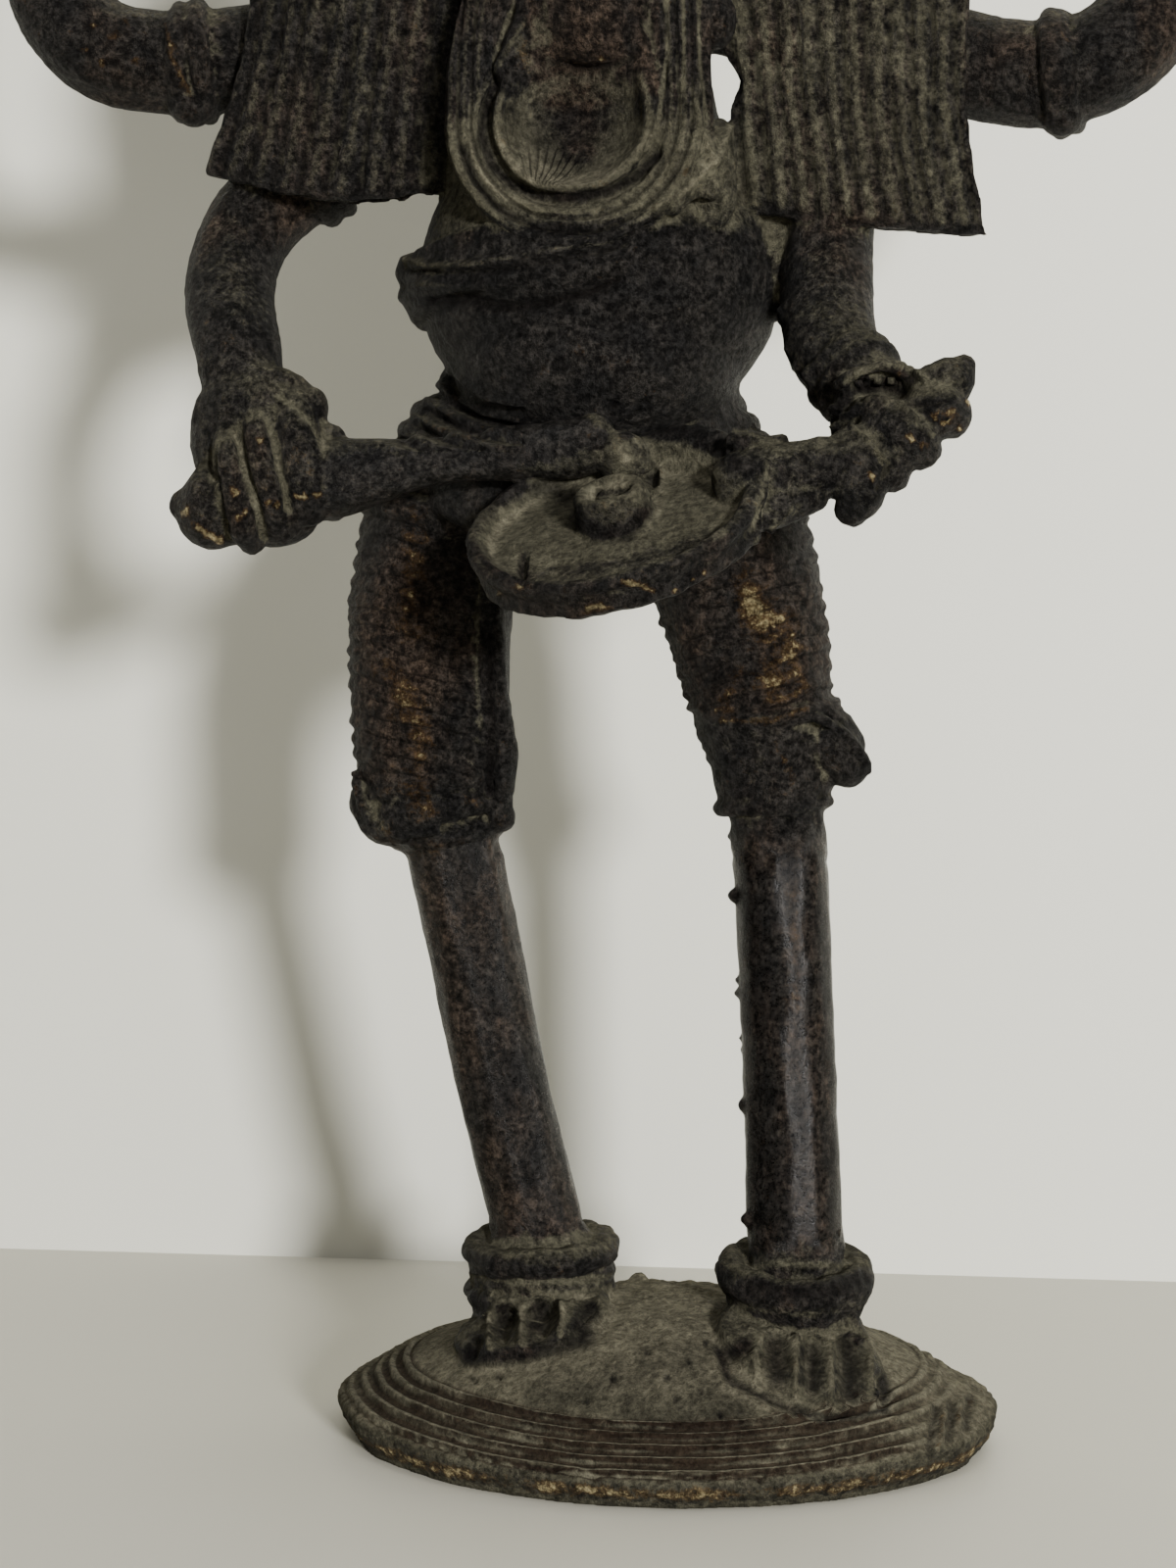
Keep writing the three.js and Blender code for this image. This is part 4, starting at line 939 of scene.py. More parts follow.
MARKS = [
    # the fist: dusty grooves between the fingers and worn knuckles
    ((-48, -24, 84), (-28, -8, 108), [
        ([(218, 489), (217, 462), (225, 447), (238, 440), (245, 455), (249, 475), (256, 496), (262, 517), (269, 548)],
         3.4, -0.45, 0.8, 0, 0),
        ([(221, 489), (224, 514), (232, 548)], 3, -0.5, 0.7, 0, 0),
        ([(253, 428), (258, 420), (266, 418), (272, 428), (280, 448), (284, 475), (291, 500), (294, 520)],
         3.6, -0.4, 0.7, 0, 0),
        ([(287, 406), (305, 416), (318, 432), (330, 456)], 3, -0.3, 0.8, 0, 0),
        ([(205, 474), (214, 468)], 5, 0, 0.6, 0, 0),
        ([(189, 524)], 5, *SPECK), ([(200, 537), (225, 553)], 4, *SPECK),
        *dots(3, SPECK, (241, 527), (250, 523), (273, 513)), ([(284, 514)], 3.4, *SPECK),
        *dots(3, SPECK, (302, 506), (311, 507), (320, 504), (327, 503), (265, 450), (241, 503))]),
    # the hand on the gong: painted shade in the hollows under the bangle and in grooves between the fingers,
    # dusty ridges between the fingers
    ((12, -32, 86), (34, -10, 110), [
        ([(878, 397), (899, 391), (918, 396)], 9, -1.1, -0.8, 0, 1.0),
        ([(853, 424), (866, 412)], 8, -0.8, -0.8, 0, 1.0),
        ([(862, 391), (879, 381), (900, 374), (924, 374), (938, 381), (945, 389)], 3, *RIDGE),
        ([(850, 436), (858, 424), (878, 404), (899, 409), (918, 412), (935, 428), (952, 444)], 2.8, *RIDGE),
        ([(927, 414), (946, 413), (963, 411)], 3, -0.4, 0, 0, 0.8),
        ([(925, 400), (950, 396), (975, 385)], 8, 0, 0.5, 0, 0),
        ([(868, 435), (886, 451), (900, 466), (906, 473)], 2.8, *RIDGE),
        ([(988, 410)], 4, *SPECK), ([(973, 419)], 3, *SPECK), ([(963, 431)], 3.6, *SPECK),
        *dots(3, SPECK, (979, 437), (955, 427)), ([(930, 447)], 3.4, *SPECK),
        *dots(3, SPECK, (941, 454), (889, 486)), ([(916, 384)], 3.4, *SPECK),
        ([(905, 478), (895, 500)], 3, -0.4, 0, 0, 0.6)]),
    # the gong: tie threads, a pit beside the boss, a notch in the rim, dust where the stick's end joins it;
    # painted shade in the pit, the notch, the rim's inner wall at the back, round the boss and along the
    # rim's front and underside, and a painted shadow of the stick across the face
    ((-19, -42, 76), (14, -12, 104), [
        ([(782, 472), (781, 494), (773, 522), (770, 566)], 2.8, *RIDGE),
        ([(813, 515), (786, 540), (775, 556)], 2.4, *RIDGE), ([(666, 489)], 6, -0.9, -0.6, 0, 1.0),
        ([(656, 480), (664, 474), (675, 480), (675, 500), (665, 505)], 2.4, *RIDGE),
        ([(534, 570), (531, 592)], 4.2, *SHADED_PIT),
        ([(602, 424), (624, 440), (638, 468)], 6, 0.1, 0.9, 0, 0), ([(640, 470), (628, 500)], 8, 0, 0.7, 0, 0),
        ([(500, 500), (560, 497), (590, 512)], 10, 0, -0.5, 0, 0.5),
        ([(672, 440), (700, 438), (733, 454), (752, 474)], 10, -0.2, -0.9, 0, 0.85),
        ([(640, 428), (690, 419), (735, 426), (770, 445), (790, 461)], 3.4, 0.3, 0.7, 0, 0),
        ([(662, 452), (690, 454), (715, 468), (732, 488)], 3, 0.2, 0.7, 0, 0),
        *strokes(2.4, (0.3, 0, 0, -0.5), [(700, 432), (706, 450)], [(722, 440), (726, 460)],
                 [(742, 452), (742, 472)]),
        ([(590, 512), (612, 498), (640, 498), (655, 512)], 5, 0, 0.8, 0, -0.3),
        ([(588, 530), (610, 545), (640, 545), (656, 525)], 7, 0, -0.8, 0, 0.7),
        ([(612, 503), (640, 500)], 3.4, -0.3, -0.6, 0, 0.9),
        ([(478, 560), (500, 585), (540, 605), (600, 612), (660, 598), (710, 570), (740, 540)], 3, -0.2, 0.3, 0, 0),
        ([(500, 600), (540, 618), (600, 626), (660, 616)], 8, 0, -0.3, 0.12, 0.3),
        ([(599, 620), (615, 616)], 4, *SPECK), *dots(3.4, SPECK, (509, 605), (530, 598)),
        ([(638, 594), (667, 602)], 3, *SPECK), *dots(3, SPECK, (689, 602), (707, 591), (718, 585)),
        ([(480, 560), (530, 600), (600, 618), (680, 600)], 7, 0, -0.4, 0, 0.3)]),
    # the feet and the dome between them: dusty ridges on the toes, painted shade in the hollows between them,
    # in pits, under the feet's fronts and in grooves at the base's right end, and a darker patch on the dome
    ((-36, -28, 3), (36, 6, 17), [
        ([(486, 1368), (480, 1382)], 6, *SHADED_PIT), ([(516, 1340), (511, 1360)], 8, *SHADED_DIP),
        *strokes(10.5, SHADED_DIP, [(554, 1334), (550, 1356)], [(602, 1336), (592, 1354)]),
        *strokes(3.4, RIDGE, [(499, 1340), (499, 1378)], [(533, 1332), (531, 1372)], [(574, 1330), (572, 1366)],
                 [(499, 1346), (506, 1331), (522, 1327), (532, 1340)],
                 [(533, 1340), (545, 1321), (562, 1321), (573, 1338)],
                 [(575, 1338), (590, 1322), (608, 1323), (620, 1342)]),
        ([(476, 1386), (540, 1382), (600, 1366)], 8, 0, -0.6, 0, 0.7),
        ([(462, 1378), (474, 1400), (540, 1399), (592, 1379), (624, 1352)], 3.4, -0.15, 0.6, 0, 0),
        ([(745, 1381), (762, 1374)], 8, -1.0, -0.6, 0, 1.0), ([(790, 1374), (794, 1406)], 11.5, *SHADED_DIP),
        ([(829, 1380), (830, 1416)], 8, *SHADED_DIP), ([(865, 1376), (867, 1422)], 11, *SHADED_DIP),
        ([(900, 1408), (902, 1425)], 6.5, *SHADED_PIT),
        *strokes(3.4, RIDGE, [(770, 1384), (774, 1420)], [(811, 1362), (812, 1428)], [(847, 1362), (848, 1434)],
                 [(888, 1366), (890, 1434)], [(771, 1378), (779, 1360), (796, 1355), (809, 1370)],
                 [(813, 1368), (829, 1358), (845, 1366)], [(849, 1366), (866, 1356), (886, 1366)],
                 [(850, 1436), (872, 1440), (892, 1436)]),
        ([(731, 1376), (745, 1409), (797, 1434), (843, 1449), (904, 1438)], 4, -0.35, -0.4, 0, 0.8),
        ([(722, 1372), (737, 1414), (795, 1443), (845, 1459), (912, 1447)], 3, 0.25, 0.6, 0, 0),
        ([(560, 1425), (640, 1405), (700, 1385), (745, 1450), (650, 1440)], 26, 0, -0.3, 0, 0.25),
        ([(430, 1400), (470, 1408)], 20, 0, 0.5, 0, 0), ([(930, 1385), (935, 1412)], 18, 0, 0.5, 0, 0),
        ([(640, 1345), (700, 1352)], 20, 0, 0.4, 0, 0),
        *dots(2.8, (-0.4, -0.6, 0, 1.0), (484, 1409), (510, 1406), (680, 1406), (720, 1371), (735, 1445),
              (703, 1390), (660, 1380), (598, 1430), (640, 1430), (690, 1428), (715, 1420), (756, 1440),
              (672, 1368), (625, 1408)),
        *strokes(4, (-0.4, -0.2, 0, 0.5), [(955, 1436), (948, 1480)], [(972, 1432), (968, 1470)]),
        ([(988, 1425), (986, 1460)], 3.4, -0.35, -0.2, 0, 0.5),
        *strokes(3, (0.35, 0, 0.35, 0), [(963, 1434), (958, 1476)], [(980, 1428), (977, 1466)]),
        *dots(3, SPECK, (958, 1442), (990, 1432), (975, 1446), (1000, 1420))]),
    # the sash and the belly, with painted shade in the sash's fold, under the sash and in a hole in the belly
    ((-28, -24, 98), (14, 2, 128), [
        ([(413, 266), (432, 272), (476, 271), (527, 262), (577, 253), (625, 248)], 4, 0.45, 0.9, 0, 0),
        ([(420, 276), (484, 278), (539, 272), (590, 262), (640, 250)], 3, -0.5, 0, 0, 0.5),
        ([(425, 290), (484, 292), (539, 288), (590, 278), (640, 264)], 4, 0.3, 0.5, 0, 0),
        # cords round the left hip, and a groove below each, darkened with painted shade
        *[([(436 - 12 * i, v + 16 * i), (460 - 8 * i, v + 14 + 16 * i), (496, v + 28 + 16 * i),
            (530, v + 34 + 16 * i)], 4, *gives)
          for v, gives in ((410, (0.45, 0.35, 0.2, 0)), (418, (-0.45, -0.4, 0, 0.7))) for i in range(-2, 4)],
        ([(440, 308), (480, 306), (518, 314), (552, 310), (602, 298), (630, 284)], 6, -0.8, -0.7, 0, 1.0),
        ([(628, 414)], 4, -0.8, -0.4, 0, 1.0), ([(571, 384), (567, 410)], 1.8, 0.12, 0.9, 0, 0),
        ([(603, 398), (600, 414)], 1.8, 0.12, 0.7, 0, 0), ([(650, 254)], 3, 0.14, -0.3, 0.4, 0)]),
    # threads between the bib and the right ear
    ((-20, -24, 112), (10, -8, 152), [
        ([(746, 128), (731, 163), (701, 194), (668, 212)], 3.2, *RIDGE),
        ([(706, 90), (716, 130), (729, 168)], 3, *RIDGE),
        *strokes(2.6, (-0.35, 0.5, 0, 0), [(680, 0), (680, 60), (672, 120), (655, 168)],
                 [(697, 0), (698, 70), (692, 130), (676, 180)], [(713, 0), (714, 60), (722, 120)]),
        *dots(2.8, (0.15, 0.5, 0.2, 0), (632, 196), (642, 188), (651, 178), (640, 204), (655, 196), (664, 184),
              (668, 170), (648, 210), (672, 196)),
        # the dish: a dusty rim, a middle darkened with painted shade and with fine rays at the left, and painted
        # shade in the groove outside it, under the fold at its left and on and under the trunk's end
        ([(512, 96), (506, 121), (507, 140), (517, 161), (530, 177), (548, 188), (575, 191), (605, 189), (632, 175),
          (654, 151), (664, 125), (660, 98), (652, 76)], 5, 0.25, 0.9, 0, 0),
        ([(508, 82), (496, 108), (492, 140), (501, 167), (520, 187), (545, 199), (580, 202), (616, 197), (648, 182),
          (672, 158)], 5, -0.5, -0.6, 0, 0.9),
        ([(582, 122), (592, 128)], 46, -0.1, -0.9, 0, 0.4), ([(560, 150), (600, 150)], 26, 0, -0.3, 0, 0.2),
        ([(536, 20), (512, 60), (494, 92), (482, 128), (482, 158), (494, 182), (516, 202), (548, 214)],
         3.2, 0.35, 0.7, 0, 0),
        ([(472, 150), (484, 186), (510, 214), (548, 230), (590, 233)], 4, -0.35, -0.3, 0, 0.7),
        ([(540, 0), (536, 40), (534, 80), (545, 106)], 9, 0, 0, 0.35, 0),
        ([(562, 62), (590, 70), (625, 66), (652, 56)], 4, -0.3, -0.2, 0, 0.6),
        ([(573, 18), (576, 34), (584, 42)], 2, 0.15, 0.7, 0, 0), ([(604, 68)], 3.4, *SPECK), ([(613, 62)], 4, *SPECK),
        ([(575, 10), (580, 50), (600, 60)], 20, 0, -0.3, 0, 0.3)]),
    # anklets and what lies round them, with painted shade under the right anklet and at the left one's end
    ((-26, -16, 9), (26, 8, 23), [
        ([(768, 1314), (800, 1320), (842, 1318), (880, 1304)], 9, -0.35, -0.7, 0, 0.75),
        ([(756, 1296), (786, 1290), (850, 1292), (884, 1286)], 4, 0.2, 0.7, 0, 0),
        ([(752, 1330), (800, 1340), (850, 1338), (884, 1326)], 5, 0, 0.5, 0, 0),
        ([(478, 1303), (520, 1309), (580, 1307), (632, 1300)], 3, -0.4, 0.5, 0, 0),
        ([(480, 1322), (490, 1340)], 6, 0, -0.6, 0, 0.8),
        ([(500, 1316), (560, 1318), (620, 1310)], 4, 0, 0.5, 0, 0)]),
    # worn brass on the fronts of the trousers, the hem and the cuff; painted shade down the inner side of the
    # left leg, and a darker patch higher on its front
    ((-33, -16, 58), (-12, 6, 96), [
        ([(426, 530), (415, 640)], 16, 0, -0.4, 0.6, 0), ([(402, 690), (424, 740)], 19, 0, -0.4, 0.66, 0),
        ([(430, 765), (428, 812)], 15, 0, -0.4, 0.5, 0),
        ([(500, 650), (502, 740), (500, 810)], 6, -0.7, -1.6, 0, 0.9),
        ([(380, 825), (396, 862)], 10, 0, 0.5, 0.1, 0), ([(430, 870), (490, 858)], 6, 0, 0.3, 0.25, 0),
        ([(486, 820)], 5, 0, 0, 0.6, 0), ([(470, 600), (476, 560)], 12, 0, -0.5, 0, 0.5)]),
    ((-3, -16, 58), (24, 6, 96), [
        ([(757, 590), (775, 630)], 15, 0, -0.4, 0.62, 0),
        ([(770, 620), (787, 660), (788, 705)], 17, 0, -0.4, 0.55, 0),
        ([(786, 690)], 9, 0, -0.4, 0.4, 0), ([(750, 690), (735, 725)], 11, 0, -0.2, 0.6, 0),
        ([(800, 630), (818, 700)], 10, 0, -0.2, 0.55, 0),
        ([(735, 735), (790, 735), (822, 722)], 3.4, 0.2, 0.4, 0.5, 0), ([(795, 775), (810, 790)], 5, 0, 0, 0.6, 0),
        ([(745, 770), (770, 800)], 8, 0, 0, 0.35, 0)]),
    # the right shin's worn streak, and painted shade down both its sides
    ((6, -12, 20), (18, 4, 62), [
        ([(806, 880), (812, 960), (810, 1040)], 8, 0, -0.4, 0.34, 0),
        ([(776, 1090), (784, 1240)], 7, 0, -0.2, 0.2, 0),
        ([(766, 880), (772, 1060)], 7, 0, -0.4, 0, 0.5), ([(846, 880), (856, 1240)], 6, 0, -0.4, 0, 0.5)]),
    # glints on the raised arms
    ((-70, -14, 130), (-40, 4, 160), [
        *dots(4, (0.1, -0.4, 0.75, 0), (96, 26), (112, 40), (88, 50), (128, 22), (140, 60), (104, 66)),
        ([(168, 20), (176, 60), (196, 100)], 3, 0.2, 0, 0.5, 0)]),
]


def laid_marks(p, normal):
    """What the marks add at each point: rise, dust, bare brass and painted shade."""
    total = np.zeros((4, len(p)))
    towards = smooth(-(normal @ AHEAD), 0.0, 0.25)
    for low, high, marks in MARKS:
        k = np.nonzero(np.all((p > low) & (p < high), axis=1) & (towards > 0))[0]
        u, v = seen(p[k])
        for path, half, *gives in marks:
            path = np.array(path if len(path) > 1 else path * 2, float)
            reach = 2.6 * half
            near = np.nonzero((u > path[:, 0].min() - reach) & (u < path[:, 0].max() + reach)
                              & (v > path[:, 1].min() - reach) & (v < path[:, 1].max() + reach))[0]
            best = np.full(len(near), 1e9)
            for a, b in zip(path[:-1], path[1:]):
                d = b - a
                t = np.clip(((u[near] - a[0]) * d[0] + (v[near] - a[1]) * d[1]) / max(d @ d, 1e-9), 0, 1)
                best = np.minimum(best, np.hypot(u[near] - a[0] - t * d[0], v[near] - a[1] - t * d[1]))
            share = np.exp(-((best / half) ** 2)) * towards[k[near]]
            total[:, k[near]] += np.outer(gives, share)
    return total


# ---- one cast skin ----

def new_mesh(name, points, faces):
    mesh = bpy.data.meshes.new(name)
    mesh.vertices.add(len(points))
    mesh.vertices.foreach_set("co", np.asarray(points, np.float32).ravel())
    mesh.loops.add(faces.size)
    mesh.loops.foreach_set("vertex_index", faces.astype(np.int32).ravel())
    mesh.polygons.add(len(faces))
    mesh.polygons.foreach_set("loop_start", np.arange(0, faces.size, 3, dtype=np.int32))
    mesh.polygons.foreach_set("loop_total", np.full(len(faces), 3, np.int32))
    mesh.update(calc_edges=True)
    return mesh


def applied(obj, kind, **settings):
    """Adds a modifier, applies it and leaves the object with its new mesh."""
    modifier = obj.modifiers.new(kind.lower(), kind)
    for key, value in settings.items():
        setattr(modifier, key, value)
    evaluated = obj.evaluated_get(bpy.context.evaluated_depsgraph_get())
    mesh = bpy.data.meshes.new_from_object(evaluated)
    obj.modifiers.clear()
    old, obj.data = obj.data, mesh
    bpy.data.meshes.remove(old)


def arrays(mesh):
    co = np.zeros(len(mesh.vertices) * 3, np.float32)
    mesh.vertices.foreach_get("co", co)
    normal = np.zeros(len(mesh.vertices) * 3, np.float32)
    mesh.vertices.foreach_get("normal", normal)
    edges = np.zeros(len(mesh.edges) * 2, np.int32)
    mesh.edges.foreach_get("vertices", edges)
    return co.reshape(-1, 3).astype(float) / MM, normal.reshape(-1, 3).astype(float), edges.reshape(-1, 2)


def blurred(values, edges, rounds):
    """Averages values with their neighbours', round after round."""
    n = len(values)
    a, b = edges[:, 0], edges[:, 1]
    count = np.maximum(np.bincount(a, minlength=n) + np.bincount(b, minlength=n), 1)
    for _ in range(rounds):
        columns = [np.bincount(a, values[b, k], n) + np.bincount(b, values[a, k], n) for k in range(values.shape[1])]
        values = 0.5 * values + 0.5 * np.stack(columns, -1) / count[:, None]
    return values


figure = bpy.data.objects.new("ganesha_casting",
                              new_mesh("ganesha_casting", np.vstack(wax["points"]) * MM, np.vstack(wax["faces"])))
bpy.context.scene.collection.objects.link(figure)
applied(figure, "REMESH", mode="VOXEL", voxel_size=VOXEL * MM, adaptivity=0.0)



def move_points(mesh, points):
    mesh.vertices.foreach_set("co", (points * MM).astype(np.float32).ravel())
    mesh.update()


p, normal, edges = arrays(figure.data)
move_points(figure.data, blurred(p, edges, SETTLED))
p, normal, edges = arrays(figure.data)
share = rim_share(p[:, 0], p[:, 1])
on_base = 1 - smooth(p[:, 2], 12, 15)
rise = fine_lines(p, normal)[0] + laid_marks(p, normal)[0]
ankle = smooth(p[:, 2], 9, 12) * (1 - smooth(p[:, 2], 20, 23)) * (share < 0.9)
hem = smooth(p[:, 2], 57, 59) * (1 - smooth(p[:, 2], 70, 74)) * (p[:, 1] < 8)
rise += 0.10 * noise(p, 4.2, 80) + (0.05 + 0.26 * ankle + 0.2 * hem) * noise(p, 1.6, 81)
rise += 0.06 * noise(p, 0.9, 82) * (p[:, 2] > 62)
rise += 0.2 * on_base * smooth(share, 0.955, 0.99) * noise(p, 0.95, 83)
rise += 0.3 * on_base * smooth(p[:, 0], 22, 30) * noise(p, 1.8, 84)
p = p + normal * (rise * smooth(p[:, 2], 0.0, 0.8))[:, None]
p[:, 2] = np.where(p[:, 2] < 0.35, 0.0, p[:, 2])
move_points(figure.data, p)
count = sum(len(q.vertices) - 2 for q in figure.data.polygons)
# more of the triangles go to the finest carving: feet, ribs, gong, hands and bib
finest = (on_base * (share < 1.02) * (p[:, 1] < 0) + (p[:, 2] < 17) * (p[:, 1] < -2)
          + (p[:, 1] < -12) * (p[:, 2] > 84) * (p[:, 2] < 152)) > 0.5
group = figure.vertex_groups.new(name="plainer")
group.add(np.nonzero(~finest)[0].tolist(), 1.0, "REPLACE")
group.add(np.nonzero(finest)[0].tolist(), FINEST_WEIGHT, "REPLACE")
applied(figure, "DECIMATE", ratio=TRIANGLES / count, use_collapse_triangulate=True, vertex_group="plainer",
        vertex_group_factor=FINEST_SHARE)
figure.vertex_groups.clear()
figure.data.polygons.foreach_set("use_smooth", np.ones(len(figure.data.polygons), bool))


# ---- what the metal shows: hollows, dust, wear and painted shade ----

p, normal, edges = arrays(figure.data)
x, y, z = p.T
up = normal[:, 2]
near = blurred(p, edges, NEAR)
wide = blurred(near, edges, WIDE)
broad = blurred(wide, edges, BROAD)
cavity = ((near - p) * normal).sum(1) * 9
hollow = ((wide - p) * normal).sum(1) * 2.2
deep = ((broad - p) * normal).sum(1) * 0.8
lines = fine_lines(p, normal)[1]
laid = laid_marks(p, normal)


def attribute(name, values):
    layer = figure.data.attributes.new(name, "FLOAT", "POINT")
    layer.data.foreach_set("value", np.clip(values, -60, 900).astype(np.float32))


for name in ("phase", "ribbed", "wound", "fluted"):
    attribute(name, lines[name])
attribute("cavity", cavity)

gx, gy, gz = gong_place(p)
on_face = (1 - smooth(np.hypot(gx, gy), 12.2, 12.9)) * (gz > -1.9) * (gz < 2.6)
share = rim_share(x, y)
on_dome = np.where((z < 15.5) & (share < 1.02), 1.0, 0.0) * smooth(dome(x, y) + 1.2 - z, 0, 0.6)
shin = ((z > 20) & (z < 61)).astype(float)

dust = 0.16 + 0.5 * smooth(up, 0.2, 0.9) + 0.5 * smooth(hollow, 0.1, 0.8) + 0.3 * smooth(deep, 0.2, 1.2)
dust += 0.55 * on_face + 1.1 * on_dome - 0.2 * lines["wound"] - 0.2 * smooth(-up, 0.2, 0.9) - 0.3 * shin
dust += 0.3 * lines["fluted"] * (x > 7)
dust -= 0.45 * smooth(share, 0.95, 0.97) * (z < 3.2)
dust += (0.68 * smooth(z, 118, 121) * (1 - smooth(z, 126, 131)) * smooth(-y, 6, 9)
         * (1 - smooth(np.abs(x + 7), 14, 18)))
dust += 0.2 * (z > 84) * (z < 108) * (x < -30) + 0.2 * (z > 84) * (z < 112) * (x > 12)
dust += 0.35 * smooth(z, 119, 123) * (1 - smooth(z, 126, 131)) * smooth(-y, 8, 12) * (x < -10) * (x > -24)
dust += 0.25 * ((z > 9) & (z < 21) & (share < 0.85)) * smooth(up, -0.3, 0.6)
dust += 0.45 * shin * (1 - smooth(z, 24, 36)) * smooth(noise(p, 3, 92), -0.3, 0.5)
# painted shade: the lower belly is darkened, with its dust taken away here and its red further down
lower_belly_shade = np.clip(1.3 - np.hypot((x - BELLY_X) / 17, (z - 108.5) / 11), 0, 1) * (y < 2) * (z > 99)
dust -= 0.5 * smooth(lower_belly_shade, 0.1, 0.6)
attribute("dust", dust + laid[1])

rim_line = smooth(share, 0.93, 0.955) * smooth(z, 0.6, 1.2) * (1 - smooth(z, 1.9, 2.6)) * (y < 6)
brass = 0.8 * rim_line * smooth(noise(p, 9, 93), -1.0, -0.1) + 0.1 * ((z > 58) & (z < 66) & (x < -14))
attribute("brass", brass + laid[2])
stick = 0.5 * ((z > 90) & (z < 103) & (x < -5) & (x > -31) & (y < -13) & (y > -21))
worn_shin = shin * (y < 4) * np.where(x < 0, 0.75, 1.0)
attribute("polish", blurred(np.stack([np.maximum(worn_shin, stick)], -1), edges, SOFT)[:, 0])

red = 0.3 + 0.35 * noise(p * (1, 1, 0.4), 7, 91)
red += 0.5 * ((y < -12) & (np.abs(x + 5.3) < 6.2) & (z > 131))
red += 0.2 * ((z > 119) & (z < 150) & ((x < -22) | (x > 9)) & (y < -4)) + 0.25 * shin + 0.3 * lines["wound"]
# the lower belly's painted shade also takes away its red
red -= 0.7 * smooth(lower_belly_shade, 0.1, 0.6)
attribute("red", red)
# painted shade from the marks: their hollows, grooves and undersides are darkened
attribute("dark", np.clip(laid[3], 0, 1))


# ---- the metal itself ----

